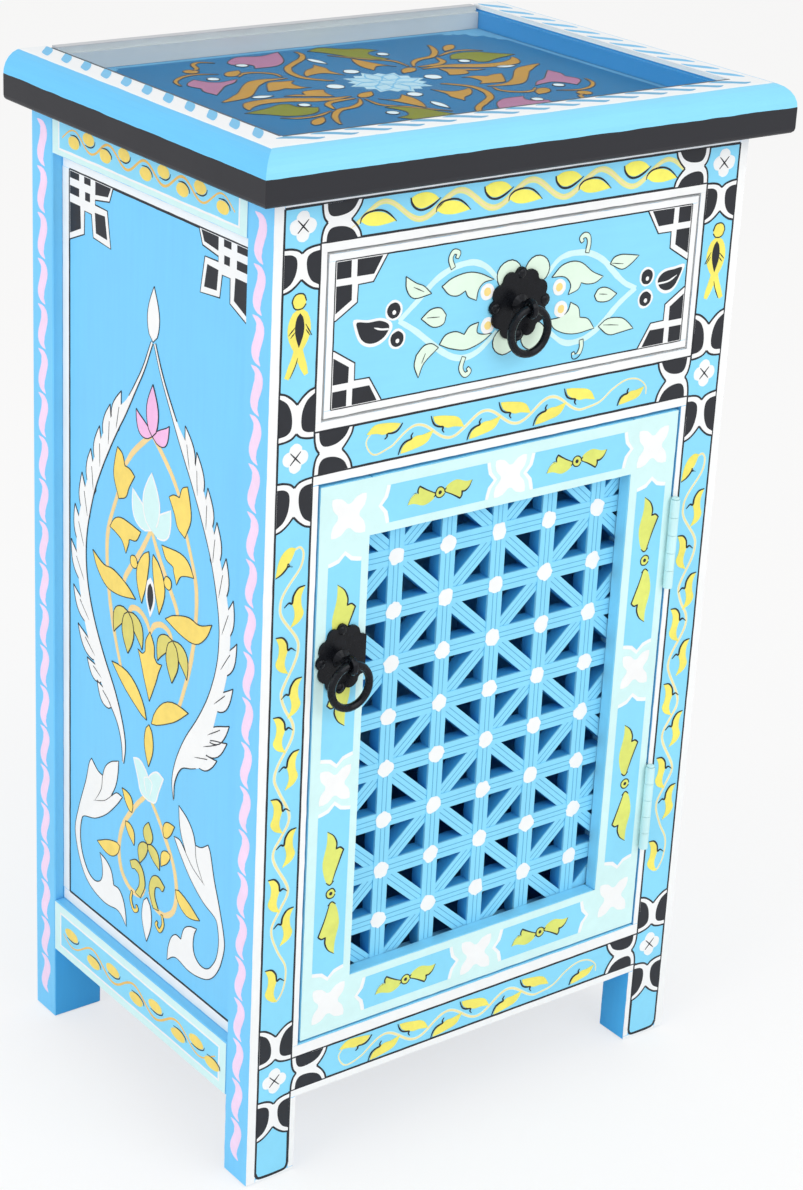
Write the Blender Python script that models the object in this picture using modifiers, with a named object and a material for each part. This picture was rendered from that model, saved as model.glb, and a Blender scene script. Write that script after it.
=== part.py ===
"""Painted nightstand: a framed carcass with a glazed tray top, a drawer and a lattice door.

Metres, +Z up. The front looks along -Y. The origin is on the floor, under the middle of the piece.
"""

import math

import bmesh
import bpy
from mathutils import Matrix, Vector

OBJECT_NAME = "painted_nightstand"

# Carcass: overall sizes and the sections of its frame
HEIGHT = 0.700             # floor to the top's rim
CARCASS_WIDTH = 0.368
CARCASS_DEPTH = 0.274
POST_FACE = 0.038          # a post seen from the front
POST_SIDE = 0.026          # a post seen from the side
FRAME_THICK = 0.022        # front rails and the door
SIDE_RAIL_THICK = 0.020
BACK_RAIL_THICK = 0.018
TENON_THICK = 0.008
TENON_LENGTH = 0.012
TENON_SHOULDER = 0.007     # rail left standing above and below a tenon

# Heights of the front, from the floor up
FOOT_HEIGHT = 0.057        # clear space under the bottom rails
RAIL_HEIGHT = 0.040        # bottom and middle rails
DRAWER_OPENING = 0.104     # the door's opening takes what the other heights leave
TOP_RAIL_HEIGHT = 0.036
SIDE_TOP_RAIL = 0.030

# Side and back panels, held in grooves
PANEL_THICK = 0.006
PANEL_RECESS = 0.0075      # side panel set back from the frame's outer face
BACK_PANEL_THICK = 0.005
BACK_PANEL_RECESS = 0.006
TONGUE = 0.006             # how far a panel runs into its groove
FLOOR_THICK = 0.009

# Clearances and small edge breaks
FIT = 0.0003               # between pieces that touch
REVEAL = 0.0018            # round the door and the drawer front
EDGE = 0.0008

# Tray top: a bullnose moulding on three sides, a thin strip behind, a board and a glass pane
TOP_THICK = 0.032
TOP_OVERHANG = 0.020
MOULDING_WIDTH = 0.032     # rim's inner edge to the outer edge
RIM_FLAT = 0.0185          # flat part of the rim, before the bullnose
NOSE_DROP = 0.0152         # height of the bullnose
FOOT_ROUND = 0.0035        # rounding under the dark lower edge
WELL_DEPTH = 0.016         # rim down to the painted board
BACK_STRIP_THICK = 0.007
GLASS_THICK = 0.004
GLASS_SINK = 0.0005        # glass below the rim
GLASS_LEDGE = 0.003
NOSE_STEPS = 6

# Drawer
DRAWER_FRONT_THICK = 0.018
DRAWER_BACK_SPACE = 0.023  # box to the back panel
DRAWER_HEADROOM = 0.026    # sides lower than the opening
DRAWER_WALL = 0.010
DRAWER_BOTTOM_THICK = 0.004
DRAWER_BOTTOM_RISE = 0.008
DRAWER_SIDE_PLAY = 0.0006  # box side inside the edge of the front
RUNNER_HEIGHT = 0.018
RUNNER_LEDGE = 0.010       # runner shown inside the posts
GUIDE_HEIGHT = 0.024
GUIDE_THICK = 0.012

# Door and its lattice
DOOR_MEMBER = 0.0385       # width of stiles and rails
LATTICE_RECESS = 0.0100    # door face down to the slats
LATTICE_DEPTH = 0.0115     # a slat at its fullest
LATTICE_WAIST = 0.0060     # a slat where it crosses others
LATTICE_SEAT = 0.006       # slat ends in the rebate
PITCH_X = 0.0411
PITCH_Z = 0.0371
PATTERN_SHIFT = 0.0055     # the pattern sits to the right of the opening's middle
TOP_ROW_DROP = 0.0232      # opening's top edge to the first row of crossings
SLAT_WIDTH = 0.0115
BRACE_WIDTH = 0.0100
SLAT_STEP = 0.0003         # each layer of slats lies a little behind the last
LOBE_STEPS = 4
BRACE_LAYERS = {-1: 2, 1: 3}   # the two leans of brace lie in layers of their own

# Butt hinges
HINGE_LENGTH = 0.064
HINGE_END = 0.094          # door's end to a hinge's middle
KNUCKLES = 5
KNUCKLE_RADIUS = 0.0032
HINGE_PROUD = 0.0036       # hinge axis in front of the face
LEAF_THICK = 0.0010
LEAF_DEPTH = 0.017
PIN_RADIUS = 0.0015
PIN_HEAD_RADIUS = 0.0026
PIN_HEAD_HEIGHT = 0.0012

# Ring pulls
PLATE_RADIUS = 0.0180      # body of the rosette
PLATE_THICK = 0.0016
RIVET_CIRCLE = 0.0195
RIVET_LOBE = 0.0042
RIVET_RADIUS = 0.0032
RIVET_RISE = 0.0014
SIDE_LOBE = 0.0062
SIDE_LOBE_CIRCLE = 0.0168
SIDE_LOBE_ANGLE = 27.0     # degrees from a rivet's arm
DOOR_PLATE_WIDTH = 0.0375  # the door's rosette fits the stile: cut off inside, drawn in outside
EYE_REACH = 0.0125         # face to the middle of the ring's wire
EYE_WIRE = 0.0019
SHANK_RADIUS = 0.0019
SHANK_TAIL = 0.002         # shank showing behind the wood
BOSS_RADIUS = 0.0066
NECK_RADIUS = 0.0030
RING_RADIUS = 0.0144
RING_WIRE = 0.0026
DOOR_PULL_DROP = 0.118     # door opening's top to the pull
PLATE_POINTS = 72

# Door catch
CATCH_WIDTH = 0.036
CATCH_THICK = 0.012
CATCH_HEIGHT = 0.028
CATCH_INSET = 0.045        # opening's left edge to the catch
STRIKE_THICK = 0.0012
STRIKE_MARGIN = 0.003      # strike plate inside the catch's outline

ROUND_SIDES = 16
RING_SIDES = 32
WIRE_SIDES = 10
WELD = 0.00001

# Places worked out from the sizes above
FACE_Y = TOP_OVERHANG - (CARCASS_DEPTH + TOP_OVERHANG) / 2
BACK_Y = FACE_Y + CARCASS_DEPTH
SIDE_X = CARCASS_WIDTH / 2
OPENING_X = SIDE_X - POST_FACE
DOOR_SILL = FOOT_HEIGHT + RAIL_HEIGHT
CARCASS_TOP = HEIGHT - TOP_THICK
DRAWER_HEAD = CARCASS_TOP - TOP_RAIL_HEIGHT
DRAWER_SILL = DRAWER_HEAD - DRAWER_OPENING
DOOR_HEAD = DRAWER_SILL - RAIL_HEIGHT
WELL_X = SIDE_X + TOP_OVERHANG - MOULDING_WIDTH
WELL_FRONT = FACE_Y - TOP_OVERHANG + MOULDING_WIDTH
WELL_BACK = BACK_Y - BACK_STRIP_THICK
HINGE_X = OPENING_X - REVEAL / 2
HINGE_Y = FACE_Y - HINGE_PROUD


def clear_scene():
    """Start from an empty scene."""
    for item in list(bpy.data.objects):
        bpy.data.objects.remove(item, do_unlink=True)


def collection(name):
    """Make a collection in the scene."""
    made = bpy.data.collections.new(name)
    bpy.context.scene.collection.children.link(made)
    return made


def linear(channel):
    """Turn one 0 to 255 display value into linear light."""
    value = channel / 255
    return value / 12.92 if value <= 0.04045 else ((value + 0.055) / 1.055) ** 2.4


def finish(name, colour, roughness, metallic=0.0, clear=0.0):
    """Make a plain Principled material."""
    made = bpy.data.materials.new(name)
    made.use_nodes = True
    shader = made.node_tree.nodes["Principled BSDF"]
    shader.inputs["Base Color"].default_value = (*(linear(c) for c in colour), 1.0)
    shader.inputs["Roughness"].default_value = roughness
    shader.inputs["Metallic"].default_value = metallic
    shader.inputs["Transmission Weight"].default_value = clear
    return made


clear_scene()
PIECES = collection(OBJECT_NAME)
CUTTERS = collection("cutters")

SKY = finish("sky_blue_paint", (58, 172, 224), 0.45)
AQUA = finish("pale_aqua_paint", (170, 236, 240), 0.45)
BLACK = finish("black_edge_paint", (48, 46, 52), 0.40)
DEEP = finish("deep_blue_paint", (46, 117, 182), 0.40)
PALE = finish("pale_grey_paint", (196, 198, 204), 0.50)
RAW = finish("raw_pine", (198, 160, 112), 0.70)
IRON = finish("black_iron", (30, 29, 32), 0.40, metallic=0.8)
STEEL = finish("plated_steel", (176, 178, 180), 0.30, metallic=1.0)
GLASS = finish("clear_glass", (236, 246, 242), 0.02, clear=1.0)


def active(item):
    """Give a new primitive to the scene's own collection, unselected."""
    made = bpy.context.active_object
    made.name = item
    made.data.name = item
    made.select_set(False)
    return made


def keep(item, material, parent=None):
    """File a piece under the object, with its finish and what it moves with."""
    for owner in list(item.users_collection):
        owner.objects.unlink(item)
    PIECES.objects.link(item)
    item.data.materials.clear()
    item.data.materials.append(material)
    if parent:
        item.parent = parent
        item.matrix_parent_inverse = parent.matrix_world.inverted()
    return item


def box(name, low, high):
    """Add a cube and size it to two opposite corners."""
    low = Vector(low)
    high = Vector(high)
    bpy.ops.mesh.primitive_cube_add(size=1, location=(low + high) / 2)
    made = active(name)
    made.data.transform(Matrix.Diagonal((*(high - low), 1.0)))
    return made


def rounded(item, width=EDGE):
    """Break the edges of a board."""
    bevel = item.modifiers.new("edge_break", "BEVEL")
    bevel.width = width
    bevel.segments = 1
    bevel.limit_method = "ANGLE"
    return item


def board(name, low, high, material, parent=None):
    """A squared board with broken edges, between two corners."""
    return keep(rounded(box(name, low, high)), material, parent)


def as_cutter(item):
    """File a shape among the cutters, out of the finished model."""
    for owner in list(item.users_collection):
        owner.objects.unlink(item)
    CUTTERS.objects.link(item)
    item.hide_render = True
    item.display_type = "WIRE"
    return item


def cutting_box(name, low, high, gap=FIT):
    """A box cutter that leaves a gap all round the piece it makes room for."""
    grown = Vector((gap, gap, gap))
    return as_cutter(box("cut_" + name, Vector(low) - grown, Vector(high) + grown))


def combine(item, other, operation):
    """Add a Boolean that stays live on the piece."""
    step = item.modifiers.new(operation.lower() + "_" + other.name, "BOOLEAN")
    step.operation = operation
    step.object = other
    step.solver = "EXACT"


def cut(items, cutter):
    """Cut the same room out of several pieces."""
    for item in items:
        combine(item, cutter, "DIFFERENCE")


def bake(item):
    """Turn the modifiers of a shape into its mesh."""
    bpy.context.view_layer.update()
    graph = bpy.context.evaluated_depsgraph_get()
    mesh = bpy.data.meshes.new_from_object(item.evaluated_get(graph))
    mesh.name = item.name
    item.modifiers.clear()
    item.data = mesh
    return item


def fuse(item, others):
    """Join shapes into one body in a single step and drop the ones used up."""
    group = collection("joined_to_" + item.name)
    for other in others:
        group.objects.link(other)
    step = item.modifiers.new("union", "BOOLEAN")
    step.operation = "UNION"
    step.operand_type = "COLLECTION"
    step.collection = group
    step.solver = "EXACT"
    bake(item)
    for other in others:
        bpy.data.objects.remove(other, do_unlink=True)
    bpy.data.collections.remove(group)
    return item


def tidy(mesh):
    """Weld loose seams and point the faces outwards."""
    shape = bmesh.new()
    shape.from_mesh(mesh)
    bmesh.ops.remove_doubles(shape, verts=shape.verts, dist=WELD)
    bmesh.ops.recalc_face_normals(shape, faces=shape.faces)
    shape.to_mesh(mesh)
    shape.free()


def placed(along, up, at):
    """A placing whose local X and Y run along two given directions."""
    along = Vector(along).normalized()
    up = Vector(up).normalized()
    turn = Matrix((along, up, along.cross(up))).transposed()
    return Matrix.Translation(at) @ turn.to_4x4()


def outline(name, points, thick, place):
    """Extrude a flat outline evenly to both sides of its plane."""
    curve = bpy.data.curves.new(name, "CURVE")
    curve.dimensions = "2D"
    curve.fill_mode = "BOTH"
    curve.extrude = thick / 2
    spline = curve.splines.new("POLY")
    spline.points.add(len(points) - 1)
    for point, (x, y) in zip(spline.points, points):
        point.co = (x, y, 0.0, 1.0)
    spline.use_cyclic_u = True
    drawn = bpy.data.objects.new(name + "_outline", curve)
    bpy.context.scene.collection.objects.link(drawn)
    bpy.context.view_layer.update()
    graph = bpy.context.evaluated_depsgraph_get()
    mesh = bpy.data.meshes.new_from_object(drawn.evaluated_get(graph))
    bpy.data.objects.remove(drawn, do_unlink=True)
    tidy(mesh)
    made = bpy.data.objects.new(name, mesh)
    bpy.context.scene.collection.objects.link(made)
    made.matrix_world = place
    return made


def turned(name, profile, place, steps=ROUND_SIDES):
    """Spin a profile of radius and height, listed from the top down."""
    mesh = bpy.data.meshes.new(name)
    links = [(i, i + 1) for i in range(len(profile) - 1)]
    mesh.from_pydata([(r, 0.0, z) for r, z in profile], links, [])
    made = bpy.data.objects.new(name, mesh)
    bpy.context.scene.collection.objects.link(made)
    made.matrix_world = place
    spin = made.modifiers.new("turning", "SCREW")
    spin.steps = steps
    spin.render_steps = steps
    spin.use_merge_vertices = True
    spin.merge_threshold = WELD
    bake(made)
    tidy(made.data)
    return made


def rod(name, radius, start, end, sides=ROUND_SIDES):
    """A round rod between two points on one upright line or on one line along Y."""
    start = Vector(start)
    end = Vector(end)
    line = end - start
    bpy.ops.mesh.primitive_cylinder_add(vertices=sides, radius=radius, depth=line.length)
    made = active(name)
    turn = Vector((0, 0, 1)).rotation_difference(line).to_matrix().to_4x4()
    made.matrix_world = Matrix.Translation((start + end) / 2) @ turn
    return made


def torus(name, radius, wire, place, sides, wire_sides=WIRE_SIDES):
    """A ring of round wire, whose axis is the placing's local Z."""
    bpy.ops.mesh.primitive_torus_add(
        major_radius=radius, minor_radius=wire, major_segments=sides, minor_segments=wire_sides)
    made = active(name)
    made.matrix_world = place
    return made


def smooth(item):
    """Shade round faces smooth and keep the corners crisp."""
    item.data.shade_smooth()
    item.data.set_sharp_from_angle(angle=math.radians(40))
    return item


def empty(name, at):
    """A marker on a joint's axis, which its pieces hang from."""
    made = bpy.data.objects.new(name, None)
    PIECES.objects.link(made)
    made.location = at
    bpy.context.view_layer.update()
    return made


def side_of(side):
    """The sign of X for a left or right piece."""
    return -1 if side == "left" else 1


def span(side, inner, outer):
    """Two X values, in order, for distances measured in from a side's outer face."""
    sign = side_of(side)
    ends = (sign * (SIDE_X - inner), sign * (SIDE_X - outer))
    return min(ends), max(ends)


def make_posts():
    """Four corner posts, which run on to the floor as the feet."""
    posts = {}
    rows = {"front": FACE_Y, "back": BACK_Y - POST_SIDE}
    for row, near in rows.items():
        for side in ("left", "right"):
            x0, x1 = span(side, 0.0, POST_FACE)
            low = (x0, near, 0.0)
            high = (x1, near + POST_SIDE, CARCASS_TOP)
            posts[row, side] = board(f"post_{row}_{side}", low, high, SKY)
    return posts


def tenoned(name, low, high, axis, material, posts):
    """A rail between two posts, with a tenon in each of them."""
    low = Vector(low)
    high = Vector(high)
    rail = board(name, low, high, material)
    across = 1 - axis
    middle = (low[across] + high[across]) / 2
    for end, (post, out) in enumerate(zip(posts, (-1, 1))):
        root = high[axis] if end else low[axis]
        t_low = Vector((0.0, 0.0, low.z + TENON_SHOULDER))
        t_high = Vector((0.0, 0.0, high.z - TENON_SHOULDER))
        t_low[across] = middle - TENON_THICK / 2
        t_high[across] = middle + TENON_THICK / 2
        ends = (root - out * TENON_LENGTH / 2, root + out * (TENON_LENGTH + FIT))
        t_low[axis], t_high[axis] = min(ends), max(ends)
        combine(rail, as_cutter(box(f"tenon_{name}_{end}", t_low, t_high)), "UNION")
        cut([post], cutting_box(f"mortise_{name}_{end}", t_low, t_high))
    return rail


def make_front_rails(posts):
    """Three rails across the front, flush with the posts."""
    left, right = posts["front", "left"], posts["front", "right"]
    heights = {
        "bottom": (FOOT_HEIGHT, DOOR_SILL),
        "middle": (DOOR_HEAD, DRAWER_SILL),
        "top": (DRAWER_HEAD, CARCASS_TOP),
    }
    reach = OPENING_X - FIT
    rails = {}
    for place, (low, high) in heights.items():
        rails[place] = tenoned(
            f"rail_front_{place}", (-reach, FACE_Y, low), (reach, FACE_Y + FRAME_THICK, high),
            0, SKY, (left, right))
    return rails


def make_back(posts):
    """Two rails and a thin panel close the back."""
    left, right = posts["back", "left"], posts["back", "right"]
    reach = OPENING_X - FIT
    near = BACK_Y - BACK_RAIL_THICK
    bottom = tenoned(
        "rail_back_bottom", (-reach, near, FOOT_HEIGHT), (reach, BACK_Y, DOOR_SILL),
        0, SKY, (left, right))
    top = tenoned(
        "rail_back_top", (-reach, near, CARCASS_TOP - RAIL_HEIGHT), (reach, BACK_Y, CARCASS_TOP),
        0, SKY, (left, right))
    far = BACK_Y - BACK_PANEL_RECESS
    low = (-OPENING_X - TONGUE, far - BACK_PANEL_THICK, DOOR_SILL - TONGUE)
    high = (OPENING_X + TONGUE, far, CARCASS_TOP - RAIL_HEIGHT + TONGUE)
    keep(box("panel_back", low, high), SKY)
    cut([left, right, bottom, top], cutting_box("panel_back", low, high))


def make_side(side, posts):
    """A side's two rails and its recessed panel."""
    front, back = posts["front", side], posts["back", side]
    y0 = FACE_Y + POST_SIDE
    y1 = BACK_Y - POST_SIDE
    x0, x1 = span(side, 0.0, SIDE_RAIL_THICK)
    upper = CARCASS_TOP - SIDE_TOP_RAIL
    bottom = tenoned(
        f"rail_{side}_bottom", (x0, y0 + FIT, FOOT_HEIGHT), (x1, y1 - FIT, DOOR_SILL),
        1, SKY, (front, back))
    top = tenoned(
        f"rail_{side}_top", (x0, y0 + FIT, upper), (x1, y1 - FIT, CARCASS_TOP),
        1, SKY, (front, back))
    p0, p1 = span(side, PANEL_RECESS, PANEL_RECESS + PANEL_THICK)
    low = (p0, y0 - TONGUE, DOOR_SILL - TONGUE)
    high = (p1, y1 + TONGUE, upper + TONGUE)
    keep(box(f"panel_{side}", low, high), SKY)
    cut([front, back, bottom, top], cutting_box(f"panel_{side}", low, high))


def make_floor():
    """The cupboard's floor lies on the bottom rails, notched round the posts."""
    half = SIDE_X - PANEL_RECESS - PANEL_THICK - FIT
    back = BACK_Y - BACK_PANEL_RECESS - BACK_PANEL_THICK - FIT
    low = (-half, FACE_Y + FRAME_THICK + FIT, DOOR_SILL + FIT)
    high = (half, back, DOOR_SILL + FIT + FLOOR_THICK)
    floor = board("cupboard_floor", low, high, RAW)
    for row, y0 in (("front", FACE_Y), ("back", BACK_Y - POST_SIDE)):
        for side in ("left", "right"):
            x0, x1 = span(side, 0.0, POST_FACE)
            room = cutting_box(f"notch_{row}_{side}", (x0, y0, 0.0), (x1, y0 + POST_SIDE, HEIGHT))
            cut([floor], room)


def make_runners():
    """A runner carries each side of the drawer, and a guide on it keeps the drawer straight."""
    y0 = FACE_Y + POST_SIDE + FIT
    y1 = BACK_Y - POST_SIDE - FIT
    wall = PANEL_RECESS + PANEL_THICK + FIT
    for side in ("left", "right"):
        x0, x1 = span(side, wall, POST_FACE + RUNNER_LEDGE)
        board(f"drawer_runner_{side}", (x0, y0, DRAWER_SILL - RUNNER_HEIGHT), (x1, y1, DRAWER_SILL), RAW)
        x0, x1 = span(side, POST_FACE - GUIDE_THICK, POST_FACE)
        low = (x0, y0, DRAWER_SILL + FIT)
        board(f"drawer_guide_{side}", low, (x1, y1, DRAWER_SILL + FIT + GUIDE_HEIGHT), RAW)


def arc(middle_x, middle_y, radius_x, radius_y, start, end, steps):
    """Points along part of an ellipse, angles in degrees."""
    points = []
    for i in range(steps + 1):
        angle = math.radians(start + (end - start) * i / steps)
        points.append((middle_x + radius_x * math.cos(angle), middle_y + radius_y * math.sin(angle)))
    return points


def moulding_profile():
    """Section of the top moulding: X runs outwards from the rim's inner edge, Y runs up."""
    base = CARCASS_TOP + FIT
    shelf = HEIGHT - GLASS_SINK - GLASS_THICK - FIT
    nose = MOULDING_WIDTH - RIM_FLAT
    points = [(-GLASS_LEDGE, base), (-GLASS_LEDGE, shelf), (0.0, shelf), (0.0, HEIGHT)]
    points += arc(RIM_FLAT, HEIGHT - NOSE_DROP, nose, NOSE_DROP, 90, 0, NOSE_STEPS)
    round_x = MOULDING_WIDTH - FOOT_ROUND
    points += arc(round_x, base + FOOT_ROUND, FOOT_ROUND, FOOT_ROUND, 0, -90, NOSE_STEPS // 2)
    return points


def mitre(item, at, normal):
    """Saw a piece along a plane, keep the side behind the normal and close the cut."""
    item.data.transform(item.matrix_world)
    item.matrix_world = Matrix.Identity(4)
    shape = bmesh.new()
    shape.from_mesh(item.data)
    everything = shape.verts[:] + shape.edges[:] + shape.faces[:]
    bmesh.ops.bisect_plane(shape, geom=everything, plane_co=at, plane_no=normal, clear_outer=True)
    open_edges = [edge for edge in shape.edges if edge.is_boundary]
    bmesh.ops.holes_fill(shape, edges=open_edges, sides=0)
    bmesh.ops.recalc_face_normals(shape, faces=shape.faces)
    shape.to_mesh(item.data)
    shape.free()
    return item


def make_top():
    """The tray top: mitred bullnose on three sides, a strip behind, the board and the glass."""
    profile = moulding_profile()
    up = (0, 0, 1)
    outer_x = SIDE_X + TOP_OVERHANG
    outer_y = FACE_Y - TOP_OVERHANG
    front = outline(
        "top_moulding_front", profile, 2 * outer_x, placed((0, -1, 0), up, (0, WELL_FRONT, 0)))
    for side in ("left", "right"):
        sign = side_of(side)
        corner = Vector((sign * outer_x, outer_y, 0))
        gap = Vector((sign * FIT / 2, -FIT / 2, 0))
        mitre(front, corner - gap, (sign, 1, 0))
        length = BACK_Y - outer_y
        edge = outline(
            f"top_moulding_{side}", profile, length,
            placed((sign, 0, 0), up, (sign * WELL_X, outer_y + length / 2, 0)))
        keep(smooth(mitre(edge, corner + gap, (-sign, -1, 0))), SKY)
    keep(smooth(front), SKY)

    inside = WELL_X - GLASS_LEDGE - FIT
    base = CARCASS_TOP + FIT
    shelf = HEIGHT - GLASS_SINK - GLASS_THICK - FIT
    strip = box("top_back_strip", (-inside, WELL_BACK - GLASS_LEDGE, base), (inside, BACK_Y, HEIGHT))
    rebate = cutting_box(
        "strip_rebate", (-WELL_X, WELL_FRONT, shelf), (WELL_X, WELL_BACK, HEIGHT + GLASS_THICK), 0.0)
    cut([strip], rebate)
    keep(strip, PALE)
    y0 = WELL_FRONT + GLASS_LEDGE + FIT
    y1 = WELL_BACK - GLASS_LEDGE - FIT
    keep(box("top_board", (-inside, y0, base), (inside, y1, HEIGHT - WELL_DEPTH)), DEEP)
    pane = WELL_X - FIT
    low = (-pane, WELL_FRONT + FIT, shelf + FIT)
    high = (pane, WELL_BACK - FIT, shelf + FIT + GLASS_THICK)
    keep(box("glass_pane", low, high), GLASS)


def make_drawer(slide):
    """An inset drawer: a front, two sides, a back and a bottom held in grooves."""
    half = OPENING_X - REVEAL
    back = BACK_Y - BACK_PANEL_RECESS - BACK_PANEL_THICK - DRAWER_BACK_SPACE
    behind = FACE_Y + DRAWER_FRONT_THICK
    low = DRAWER_SILL + FIT
    top = low + DRAWER_OPENING - DRAWER_HEADROOM
    front = board(
        "drawer_front", (-half, FACE_Y, DRAWER_SILL + REVEAL),
        (half, behind, DRAWER_HEAD - REVEAL), SKY, slide)
    outer = half - DRAWER_SIDE_PLAY
    inner = outer - DRAWER_WALL
    walls = [front]
    for side in ("left", "right"):
        ends = sorted((side_of(side) * outer, side_of(side) * inner))
        walls.append(board(
            f"drawer_side_{side}", (ends[0], behind + FIT, low), (ends[1], back, top), RAW, slide))
    floor_low = low + DRAWER_BOTTOM_RISE
    floor_high = floor_low + DRAWER_BOTTOM_THICK
    board(
        "drawer_back", (-inner + FIT, back - DRAWER_WALL, floor_high + FIT),
        (inner - FIT, back, top), RAW, slide)
    groove = DRAWER_WALL / 2
    corner_low = (-inner - groove, behind - groove, floor_low)
    corner_high = (inner + groove, back, floor_high)
    keep(box("drawer_bottom", corner_low, corner_high), RAW, slide)
    cut(walls, cutting_box("drawer_bottom", corner_low, corner_high))
    return front


def slat_depth(along, pitch, front):
    """Depth of a slat at a distance from a crossing: full between crossings, waisted at them."""
    share = (along / pitch) % 1.0
    swell = math.sqrt(max(0.0, 1.0 - (2.0 * share - 1.0) ** 2))
    waist = LATTICE_WAIST + front
    return waist + (LATTICE_DEPTH - waist) * swell


def slat_outline(start, end, pitch, front):
    """Side outline of a slat: straight in front, a lobe behind for each stretch between crossings."""
    points = [(start, front), (end, front)]
    stops = [start, end]
    for crossing in range(math.floor(start / pitch) - 1, math.ceil(end / pitch) + 1):
        for i in range(LOBE_STEPS):
            share = (1.0 - math.cos(math.pi * i / LOBE_STEPS)) / 2
            along = (crossing + share) * pitch
            if start + WELD < along < end - WELD:
                stops.append(along)
    for along in sorted(stops, reverse=True):
        points.append((along, slat_depth(along, pitch, front)))
    return points


def make_lattice(hinge):
    """The door's lattice: uprights, crosspieces and braces fused where they cross.

    Braces run both ways through every second crossing, so eight arms meet there and four elsewhere.
    """
    half = OPENING_X - REVEAL - DOOR_MEMBER
    low_z = DOOR_SILL + REVEAL + DOOR_MEMBER
    high_z = DOOR_HEAD - REVEAL - DOOR_MEMBER
    first = Vector((PATTERN_SHIFT - 2 * PITCH_X, FACE_Y + LATTICE_RECESS, high_z - TOP_ROW_DROP))
    left, right = -half - LATTICE_SEAT, half + LATTICE_SEAT
    bottom, top = low_z - LATTICE_SEAT, high_z + LATTICE_SEAT
    over = LATTICE_SEAT
    brace_pitch = math.hypot(PITCH_X, PITCH_Z)
    slats = []

    def slat(name, direction, at, start, end, pitch, width, layer):
        points = slat_outline(start, end, pitch, layer * SLAT_STEP)
        slats.append(outline(name, points, width, placed(direction, (0, 1, 0), at)))

    columns = range(math.ceil((-half - first.x) / PITCH_X), math.floor((half - first.x) / PITCH_X) + 1)
    rows = range(math.ceil((first.z - high_z) / PITCH_Z), math.floor((first.z - low_z) / PITCH_Z) + 1)
    for column in columns:
        at = first + Vector((column * PITCH_X, 0, 0))
        slat("upright", (0, 0, 1), at, bottom - over - at.z, top + over - at.z, PITCH_Z, SLAT_WIDTH, 0)
    for row in rows:
        at = first - Vector((0, 0, row * PITCH_Z))
        slat("crosspiece", (1, 0, 0), at, left - over - at.x, right + over - at.x, PITCH_X, SLAT_WIDTH, 1)
    wide = len(columns) + len(rows) + 2
    for lean in (-1, 1):
        direction = Vector((PITCH_X, 0, lean * PITCH_Z)).normalized()
        for step in range(-wide, wide + 1):
            at = first + Vector((2 * step * PITCH_X, 0, 0))
            ends = sorted(((bottom - over - at.z) / direction.z, (top + over - at.z) / direction.z))
            start = max(ends[0], (left - over - at.x) / direction.x)
            end = min(ends[1], (right + over - at.x) / direction.x)
            if end - start > 2 * BRACE_WIDTH:
                slat("brace", direction, at, start, end, brace_pitch, BRACE_WIDTH, BRACE_LAYERS[lean])
    lattice = slats[0]
    lattice.name = "door_lattice"
    fuse(lattice, slats[1:])
    trim = box("lattice_trim", (left, first.y - FIT, bottom), (right, first.y + LATTICE_DEPTH + FIT, top))
    combine(lattice, trim, "INTERSECT")
    bake(lattice)
    bpy.data.objects.remove(trim, do_unlink=True)
    keep(lattice, SKY, hinge)


def make_door(hinge):
    """An inset door: two stiles and two rails, rebated behind for the lattice."""
    half = OPENING_X - REVEAL
    low, high = DOOR_SILL + REVEAL, DOOR_HEAD - REVEAL
    inner = half - DOOR_MEMBER
    back = FACE_Y + FRAME_THICK
    members = {}
    for side in ("left", "right"):
        ends = sorted((side_of(side) * half, side_of(side) * inner))
        members[side] = board(
            f"door_stile_{side}", (ends[0], FACE_Y, low), (ends[1], back, high), SKY, hinge)
    reach = inner - FIT
    members["bottom"] = board(
        "door_rail_bottom", (-reach, FACE_Y, low), (reach, back, low + DOOR_MEMBER), SKY, hinge)
    members["top"] = board(
        "door_rail_top", (-reach, FACE_Y, high - DOOR_MEMBER), (reach, back, high), SKY, hinge)
    seat = inner + LATTICE_SEAT
    seat_low = low + DOOR_MEMBER - LATTICE_SEAT
    seat_high = high - DOOR_MEMBER + LATTICE_SEAT
    rebate = cutting_box(
        "lattice_rebate", (-seat, FACE_Y + LATTICE_RECESS, seat_low), (seat, back + FIT, seat_high))
    cut(members.values(), rebate)
    return members


def hinge_leaf(name, sign, bottom, knuckles, material, parent):
    """One leaf of a butt hinge: a plate in the gap, with knuckles curled round the pin."""
    step = HINGE_LENGTH / KNUCKLES
    inner = HINGE_X + sign * FIT / 2
    outer = inner + sign * LEAF_THICK
    x0, x1 = min(inner, outer), max(inner, outer)
    clear = HINGE_Y + KNUCKLE_RADIUS + FIT
    plate_low = (x0, clear, bottom)
    plate_high = (x1, clear + LEAF_DEPTH, bottom + HINGE_LENGTH)
    leaf = box(name, plate_low, plate_high)
    shapes = []
    for index in knuckles:
        z0 = bottom + index * step + FIT / 2
        z1 = z0 + step - FIT
        shapes.append(rod("knuckle", KNUCKLE_RADIUS, (HINGE_X, HINGE_Y, z0), (HINGE_X, HINGE_Y, z1)))
        shapes.append(box("tab", (x0, HINGE_Y, z0 + FIT), (x1, clear + LEAF_THICK, z1 - FIT)))
    fuse(leaf, shapes)
    bore = rod(
        "bore", PIN_RADIUS + FIT, (HINGE_X, HINGE_Y, bottom - LEAF_THICK),
        (HINGE_X, HINGE_Y, bottom + HINGE_LENGTH + LEAF_THICK))
    combine(leaf, bore, "DIFFERENCE")
    bake(leaf)
    bpy.data.objects.remove(bore, do_unlink=True)
    keep(smooth(leaf), material, parent)
    return plate_low, plate_high


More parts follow.
